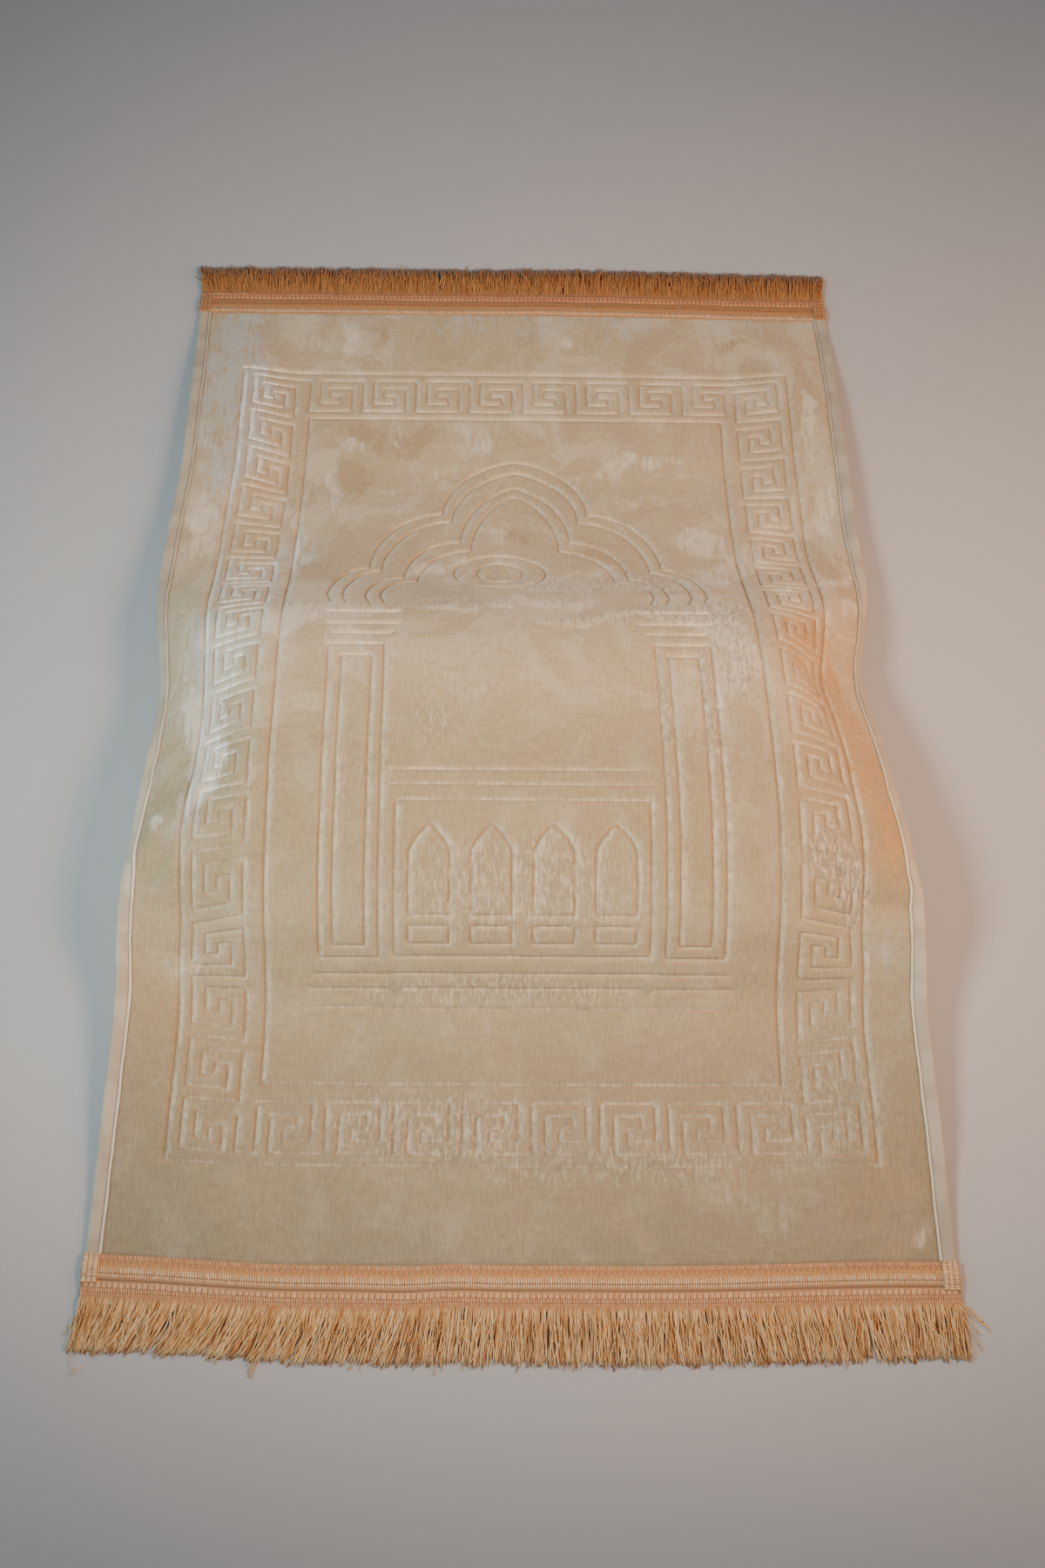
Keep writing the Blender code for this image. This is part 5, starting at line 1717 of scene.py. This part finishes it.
@dataclass
class Fringe:
    """Cut yarn on its heading, with strands that lean, cross and gather into tufts."""

    folds: Folds
    end: End
    tape: EndTape
    leans: tuple[Lean, ...]
    strays: tuple[Stray, ...]
    finish: YarnFinish
    pads: tuple[StitchRow, ...]
    root_out: float = 33.6 * MM
    length: float = 45.2 * MM
    pitch: float = 1.5 * MM
    half_thick: float = 0.46 * MM
    thick_spread: float = 0.09
    loop: float = 0.5                   # how much thicker a strand is where it is looped on
    fray: float = 0.25                  # how much thinner at its tip
    crossing_thin: float = 0.8          # thickness of the crossing strands, of the others'
    root_spread: float = 0.4 * MM
    wave: float = 1.1 * MM
    waves: tuple[float, float] = (1.4, 3.8)         # half waves in a strand, least and most
    uneven: float = 0.045               # spread of the length
    gather: float = 0.12                # how far a strand is drawn to the middle of its tuft
    tone_spread: float = 0.22
    steps: int = 8
    sides: int = 4
    root_level: float = 3.3
    rest_level: float = 0.5             # of the lowest strands, once they have come down
    come_down: float = 2.2              # how soon they do: one over the share of the length
    droop: float = 0.6                  # how far a tip sinks, of its height
    bounce: float = 1.2
    standing: float = 0.0               # mm by which the strands arch up
    tuft_pitch: float = 8.3 * MM
    tuft_lean: float = 1.8              # degrees
    tuft_length: float = 0.018
    stray_half_thick: float = 0.42 * MM
    head: tuple[tuple[float, float], ...] = (       # the heading's section: out and level in mm
        (23.0, 2.9), (23.6, 3.7), (27.2, 3.7), (27.8, 3.3), (28.6, 3.5), (31.4, 3.6),
        (34.2, 3.2), (35.4, 2.2), (35.4, 0.05), (23.0, 0.05),
    )
    # tone rises with the layer: the darker lower strands are painted shade under the upper ones
    layers: tuple[Layer, ...] = (
        Layer(1.0, 0.2, 0.02, 4.0), Layer(1.0, 0.8, 0.22, 3.5), Layer(1.0, 1.5, 0.42, 3.5),
        Layer(1.0, 2.1, 0.56, 3.2), Layer(1.0, 2.8, 0.68, 3.5), Layer(13.0, 3.6, 0.95, 11.0),
    )

    def along(self, across: np.ndarray, out: np.ndarray) -> np.ndarray:
        """Where a place out from the tape's inner edge is along the cloth."""
        half = self.tape.half_width
        return self.tape.place_along(np.clip(across, -half, half), out)

    def heading(self, rng: Random) -> list[Piece]:
        """The heading: its ground, its pads and the stitches that hold the strands."""
        half = self.tape.half_width - 0.3 * MM
        profile = np.array(self.head) * MM
        across = np.arange(-half, half + MM, 5 * MM)
        across[-1] = half
        rows, wide = len(across), len(profile)
        spread = np.repeat(across, wide)
        out = np.tile(profile[:, 0], rows)
        points = self.folds.lay(spread, self.along(spread, out), np.tile(profile[:, 1], rows))
        name = f"fringe_{self.end.value}"
        plain = np.zeros(len(points))
        # painted shade over the whole heading ground, under the strands
        ground = sweep_piece(f"{name}_heading", points, wide, self.tape.finish.material(),
                             {"dash": plain, "crease": plain + 0.6},
                             np.stack([spread, out], axis=1))
        made = [carry(ground, Slot.YARN)]
        maker = Stitches(self.folds)
        for row in self.pads:
            bar = maker.bar(f"{row.name}_bar", row.width * MM, row.length * MM, row.height * MM)
            count = int(2 * half / (row.pitch * MM))
            across = (np.arange(count) - (count - 1) / 2) * row.pitch * MM
            spots = maker.strayed(rng, across, np.full(count, row.out * MM), self.along,
                                  row.level * MM, Unevenness(0.08, 0.12, 0.06, 0.04, 0.25))
            finish = StitchFinish(f"{row.name}_{self.end.value}", row.body, row.shade)
            made.append(maker.lay(f"{name}_{row.name}", bar, spots, finish.material(), Slot.YARN))
        return made

    def build(self, rng: Random) -> Piece:
        """Make all the strands.

        Args:
            rng: the random draws.

        Returns:
            The strands, as one piece.
        """
        made = [self.layer_paths(layer, rng) for layer in self.layers] + [self.stray_paths()]
        return self.tubes(*(np.concatenate(part) for part in zip(*made)))

    def layer_paths(self, layer: Layer, rng: Random) -> tuple[np.ndarray, ...]:
        """Lay out one layer of strands.

        Args:
            layer: what its strands have in common.
            rng: the random draws.

        Returns:
            Paths, half widths and tones.
        """
        crossing = layer.spacing > 2
        half = self.tape.half_width - 1.5 * MM
        pitch = self.pitch * layer.spacing
        count = int(2 * half / pitch)
        root = (np.arange(count) - (count - 1) / 2) * pitch
        root = np.clip(root + rng.normal(0, self.root_spread, count), -half, half)
        tuft = np.floor(root / self.tuft_pitch + 0.45 * np.sin(root / (31 * MM)))
        draw = np.random.default_rng(SEED + 3).normal(0, 1, 400)
        tuft_lean = draw[(tuft + 200).astype(int) % 400] * self.tuft_lean
        tuft_length = draw[(tuft + 90).astype(int) % 400] * self.tuft_length
        places = np.array([row.across for row in self.leans]) * MM
        lean = SmoothCurve(places, np.array([row.degrees for row in self.leans])).at(root)
        bend = SmoothCurve(places, np.array([row.bend for row in self.leans])).at(root)[:, None]
        lean = np.radians(lean + tuft_lean + rng.normal(0, layer.spread, count))[:, None]
        length = (self.length * (1 + rng.normal(0, self.uneven, count) + tuft_length))[:, None]
        t = np.linspace(0, 1, self.steps + 1)[None, :]
        gather = 0.0 if crossing else self.gather
        pull = ((tuft + 0.5) * self.tuft_pitch - root)[:, None] * gather
        swing = rng.normal(0, 1.0, count)[:, None] * self.wave * np.sin(
            math.pi * (t * rng.uniform(*self.waves, count)[:, None]))
        across = root[:, None] + (length * np.tan(lean) * (t ** (1 + bend))
                                  + pull * smooth_step(t) + swing)
        outward = self.root_out + length * (t * (0.35 + 0.65 * np.cos(lean)))
        fallen = smooth_step(t * self.come_down)
        height = ((self.root_level + 0.2 * layer.lift) * MM * (1 - fallen)
                  + (self.rest_level + layer.lift) * MM * fallen)
        height = height * (1 - self.droop * smooth_step((t - 0.6) / 0.4))
        bounce = rng.uniform(0, self.bounce, count)[:, None] * MM
        height = height + bounce * np.sin(math.pi * t) ** 2
        arching = 0.5 + rng.uniform(0, 0.7, count)[:, None]
        height += self.standing * MM * np.sin(math.pi * t * 0.8) ** 1.5 * arching
        thick = rng.normal(1.0, self.thick_spread, count)[:, None] * self.half_thick
        thick = thick * (1 - self.fray * smooth_step((t - 0.8) / 0.2))
        thick = thick * (1 + self.loop * (1 - smooth_step(t * 10)))
        tones = np.clip(layer.tone + rng.normal(0, self.tone_spread, count), 0, 1)
        return (np.stack([across, outward, np.maximum(height, 0.5 * MM)], axis=2),
                thick * (self.crossing_thin if crossing else 1.0), tones)

    def stray_paths(self) -> tuple[np.ndarray, np.ndarray, np.ndarray]:
        """Paths, half widths and tones of the strands placed one by one."""
        t = np.linspace(0, 1, self.steps + 1)
        paths = []
        for row in self.strays:
            across = (row.root + (row.tip - row.root) * t + row.bow * np.sin(math.pi * t)) * MM
            out = (row.start + (row.out - row.start) * t) * MM
            drop = smooth_step(t * 1.6)
            height = (max(3.4, row.level) * (1 - drop) + row.level * drop) * MM
            paths.append(np.stack([across, out, height], axis=1))
        count = len(paths)
        return (np.array(paths), np.full((count, len(t)), self.stray_half_thick),
                np.linspace(0.5, 0.9, count))

    def tubes(self, paths: np.ndarray, widths: np.ndarray, tones: np.ndarray) -> Piece:
        """Give each path its round strand.

        Args:
            paths: for each strand, its points as across, out and level.
            widths: the half width at each point.
            tones: how pale each strand is.

        Returns:
            The strands, as one piece.
        """
        count, long = paths.shape[:2]
        run = np.gradient(paths, axis=1)
        side = np.stack([run[:, :, 1], -run[:, :, 0]], axis=2)
        side /= np.maximum(np.linalg.norm(side, axis=2, keepdims=True), 1e-9)
        rings = []
        for number in range(self.sides):
            turn = 2 * math.pi * (number + 0.5) / self.sides
            ring = paths.copy()
            ring[:, :, :2] += side * (widths * math.cos(turn))[:, :, None]
            ring[:, :, 2] += widths * math.sin(turn)
            rings.append(ring)
        points = np.stack(rings, axis=2).reshape(-1, 3)
        points[:, 2] = np.maximum(points[:, 2], 0.05 * MM)
        laid = self.folds.lay(points[:, 0], self.along(points[:, 0], points[:, 1]), points[:, 2])
        each = long * self.sides
        one = sweep_faces(long, self.sides)
        faces = [tuple(first + i for i in face)
                 for first in range(0, count * each, each) for face in one]
        numbers = {"tone": np.repeat(tones, each),
                   "reach": np.tile(np.repeat(np.linspace(0, 1, long), self.sides), count)}
        name = f"fringe_{self.end.value}"
        piece = make_piece(f"{name}_strands", laid, faces, self.finish.material(), numbers,
                           points[:, :2])
        face_out(piece)
        return carry(piece, Slot.YARN, name)


# ---- Studio ----

class SoftLight(NamedTuple):
    """A soft light: where it stands, what it points at, its size, power and colour."""

    name: str
    place: tuple[float, float, float]
    aim: tuple[float, float, float]
    size: float
    power: float
    colour: tuple[float, float, float]


@dataclass
class Studio:
    """A plain floor, a low and a high soft light on each side, and the camera."""

    camera_place: tuple[float, float, float] = (-0.01575, -1.16997, 1.54426)
    yaw: float = 0.9925                 # degrees to the right
    pitch: float = 54.773               # degrees below level
    roll: float = 1.2053
    lens: float = 46.272
    sensor: float = 36.0
    floor_half: float = 6.0
    side_lights: tuple[SoftLight, ...] = (
        SoftLight("left_light", (-1.4, -0.3, 0.6), (0, 0, 0), 0.9, 6.5, (0.45, 0.82, 1.0)),
        SoftLight("right_light", (1.35, 0.0, 0.62), (0, 0, 0), 0.9, 12.5, (1.0, 0.53, 0.25)),
    )
    top_lights: tuple[SoftLight, ...] = (
        SoftLight("left_spot", (-0.7, -0.6, 1.07), (0.389, 0.286, 0), 0.2, 66.0,
                  (0.92, 0.94, 0.91)),
        SoftLight("right_spot", (0.7, -0.6, 1.07), (-0.389, 0.286, 0), 0.28, 80.0,
                  (1.0, 0.62, 0.43)),
    )
    top_spread: float = 91.6            # degrees, fading all the way out
    sky: tuple[float, float, float] = (0.128, 0.18, 0.229)

    def build(self) -> None:
        """Set up the floor, the lights, the sky and the camera."""
        half = self.floor_half
        floor = make_piece("floor", np.array([(-half, -half, 0), (half, -half, 0),
                                              (half, half, 0), (-half, half, 0)], float),
                           [(0, 1, 2, 3)], FloorFinish().material())
        for row in self.side_lights:
            data = bpy.data.lights.new(row.name, "AREA")
            data.shape = "SQUARE"
            data.size = row.size
            self.stand(data, row)
        for row in self.top_lights:
            data = bpy.data.lights.new(row.name, "SPOT")
            data.spot_size = math.radians(self.top_spread)
            data.spot_blend = 1.0
            data.shadow_soft_size = row.size
            self.stand(data, row)
        world = bpy.data.worlds.new("sky")
        world.use_nodes = True
        back = world.node_tree.nodes["Background"]
        back.inputs["Color"].default_value = (*self.sky, 1.0)
        back.inputs["Strength"].default_value = 1.0
        bpy.context.scene.world = world
        self.camera()

    def stand(self, data: bpy.types.Light, row: SoftLight) -> None:
        """Place one light and set its power and colour."""
        data.energy = row.power
        data.color = row.colour
        lamp = bpy.data.objects.new(row.name, data)
        lamp.location = row.place
        way = Vector(row.aim) - Vector(row.place)
        lamp.rotation_euler = way.to_track_quat("-Z", "Y").to_euler()
        bpy.context.scene.collection.objects.link(lamp)

    def camera(self) -> None:
        """Add the camera, as it stood for the photograph."""
        yaw, pitch, roll = (math.radians(a) for a in (self.yaw, self.pitch, self.roll))
        ahead = Vector((math.sin(yaw) * math.cos(pitch), math.cos(yaw) * math.cos(pitch),
                        -math.sin(pitch)))
        right = Vector((math.cos(yaw), -math.sin(yaw), 0.0))
        up = right.cross(ahead)
        turned = math.cos(roll) * right + math.sin(roll) * up
        raised = math.cos(roll) * up - math.sin(roll) * right
        data = bpy.data.cameras.new("camera")
        data.lens = self.lens
        data.sensor_width = self.sensor
        camera = bpy.data.objects.new("camera", data)
        axes = Matrix((turned, raised, -ahead)).transposed()
        camera.matrix_world = Matrix.Translation(self.camera_place) @ axes.to_4x4()
        bpy.context.scene.collection.objects.link(camera)
        bpy.context.scene.camera = camera


# ---- The rug ----

FRONT_LEANS = (
    Lean(-350, -9, 0.2), Lean(-325, -14, 0.3), Lean(-290, -20, 0.4), Lean(-240, -22, 0.5),
    Lean(-190, -19, 0.5), Lean(-130, -14, 0.4), Lean(-70, -8, 0.3), Lean(0, -3, 0.2),
    Lean(70, 2, 0.2), Lean(140, 5, 0.2), Lean(210, 8, 0.3), Lean(280, 8, 0.3),
    Lean(325, 4, 0.2), Lean(350, 4, 0.2),
)
BACK_LEANS = (
    Lean(-350, -12, 0.2), Lean(-300, -4, 0.3), Lean(-200, 3, 0.4), Lean(-80, -3, 0.5),
    Lean(60, 4, 0.4), Lean(180, 2, 0.4), Lean(290, 3, 0.2), Lean(350, 6, 0.2),
)
FRONT_STRAYS = (
    Stray(-196, -210, 92, 2), Stray(-193, -212, 91, 1), Stray(-190, -213, 88, -1),
    Stray(-228, -243, 81, 1), Stray(-222, -239, 83, 0), Stray(-310, -331, 79, 1),
    Stray(-128, -141, 82, 1), Stray(-120, -135, 84, 1), Stray(-116, -133, 83, 0),
    Stray(-112, -126, 84, -1), Stray(-66, -68, 89, 1), Stray(-60, -62, 86, 0),
    Stray(-50, -46, 85, -1), Stray(38, 40, 85, 1), Stray(43, 42, 84, 0), Stray(93, 97, 84, 0),
    Stray(104, 108, 84, 1), Stray(112, 125, 80, -1), Stray(151, 157, 82, 1),
    Stray(346, 367, 52, -2), Stray(347, 369, 54, 1), Stray(347, 371, 57, 3),
    Stray(346, 363, 59, -1), Stray(345, 357, 76, 2), Stray(343, 360, 68, 1),
    Stray(347, 366, 49, 0), Stray(345, 362, 72, 4), Stray(342, 355, 79, 0),
    Stray(-331, -358, 60, 2), Stray(-336, -360, 66, 1), Stray(-330, -306, 62, -6, 2.6),
    Stray(-338, -300, 66, 8, 3.4), Stray(-345, -353, 53, 1, 0.55, 31.0),
    Stray(-353, -348, 98, -3, 0.55, 53.0), Stray(-348, -342, 91, -2, 0.55, 98.0),
)
BACK_STRAYS = (
    Stray(-330, -352, 70, -3), Stray(-336, -361, 62, 2), Stray(-60, -52, 86, 2),
    Stray(120, 128, 84, 1), Stray(-322, -300, 66, 3, 6.0), Stray(-318, -338, 60, 2, 6.0),
    Stray(-300, -272, 64, 3, 6.0), Stray(-168, -186, 64, 2, 6.5), Stray(-150, -136, 62, 2, 6.5),
    Stray(-128, -126, 78, 2, 7.0), Stray(-122, -128, 80, 0, 7.0), Stray(-60, -76, 60, 0, 6.5),
    Stray(-58, -40, 62, 0, 6.5), Stray(20, 4, 64, 0, 6.5), Stray(32, 50, 60, 0, 6.5),
    Stray(150, 168, 64, 0, 6.5), Stray(190, 176, 62, 0, 6.5), Stray(262, 280, 60, 0, 6.5),
    Stray(-347, -318, 28, 1, 4.9, 29.0), Stray(-344, -300, 30, -1, 4.7, 27.0),
    Stray(-340, -296, 27, 1, 4.9, 30.0),
)
FRONT_ROWS = (
    StitchRow("edge", 2.6, 5.25, 1.35, 3.2, 1.1, (238, 184, 134), (204, 144, 98),
              turn=0.22),
    StitchRow("satin", 9.2, 5.05, 1.5, 3.2, 0.5, (218, 162, 100), (198, 140, 80),
              turn=0.16),
    StitchRow("pale", 13.2, 5.05, 1.35, 4.1, 1.1, (250, 216, 166), (228, 178, 122),
              turn=0.06),
    StitchRow("second", 17.4, 4.85, 1.35, 2.4, 1.0, (246, 212, 164), (220, 172, 122),
              turn=-0.06),
)
# the rows past the edge are darker than the front's: painted shade
BACK_ROWS = (
    StitchRow("edge", 2.9, 5.3, 1.7, 5.3, 1.1, (232, 192, 146), (214, 168, 122),
              turn=0.1),
    StitchRow("pale", 13.2, 5.0, 1.6, 3.7, 0.5, (184, 132, 84), (168, 114, 68),
              turn=0.06),
    StitchRow("second", 17.3, 4.8, 1.6, 2.1, 0.5, (180, 128, 80), (162, 108, 64),
              turn=-0.06),
)
FRONT_PADS = (
    StitchRow("pads", 24.9, 3.75, 4.55, 4.1, 0.9, (228, 178, 130), (212, 154, 104),
              pitch=4.74),
    StitchRow("chain", 29.3, 3.75, 1.5, 3.0, 1.0, (236, 182, 128), (208, 148, 100)),
    StitchRow("roots", 33.1, 3.5, 1.5, 3.1, 1.1, (232, 176, 118), (196, 134, 86)),
)
# darker than the front pads: painted shade
BACK_PADS = (
    StitchRow("pads", 25.3, 3.9, 4.3, 4.2, 0.9, (208, 148, 100), (196, 134, 88),
              pitch=4.74),
    StitchRow("chain", 29.6, 4.1, 1.5, 3.6, 1.3, (214, 152, 104), (192, 128, 82)),
)


def main() -> None:
    """Build the rug and the studio."""
    logging.basicConfig(level=logging.INFO, format="%(message)s")
    rng = np.random.default_rng(SEED)
    folds = Folds()
    Studio().build()
    panel = VelourPanel(folds, Design()).build()
    maker = Stitches(folds)
    bar = maker.bar("small_bar", 1.6 * MM, 3.4 * MM, 0.9 * MM)
    fitted = []
    for side in (-1, 1):
        # the right binding's greyer colours offset the warm right light's tint: painted light
        lit = BindingFinish("binding_left") if side < 0 else BindingFinish(
            "binding_right", (186, 176, 154), (172, 160, 138), (214, 208, 188))
        binding = SideBinding(folds, side, lit)
        fitted += [binding.build(), binding.stitches(bar)]
    for end in End:
        if end is End.FRONT:
            tape = EndTape(folds, end, TapeFinish(), FRONT_ROWS)
            fringe = Fringe(folds, end, tape, FRONT_LEANS, FRONT_STRAYS, YarnFinish("yarn_front"),
                            FRONT_PADS)
        else:
            # darker copies of the front tape and yarn: painted shade, as the back end lies in shade
            shaded = TapeFinish("tape_back", (190, 138, 86), (166, 114, 66), (198, 148, 98),
                                (150, 100, 60))
            tape = EndTape(folds, end, shaded, BACK_ROWS)
            dark = YarnFinish("yarn_back", (178, 120, 66), (156, 102, 54), (196, 144, 88),
                              (206, 168, 120), (122, 74, 32))
            fringe = Fringe(folds, end, tape, BACK_LEANS, BACK_STRAYS, dark, BACK_PADS,
                            root_out=32.0 * MM, length=43.2 * MM, half_thick=0.6 * MM,
                            uneven=0.05, gather=0.0, tone_spread=0.1, standing=4.0)
        fitted += [tape.build()] + tape.stitch_rows(rng)
        fitted += fringe.heading(rng) + [fringe.build(rng)]


if __name__ == "__main__":
    main()
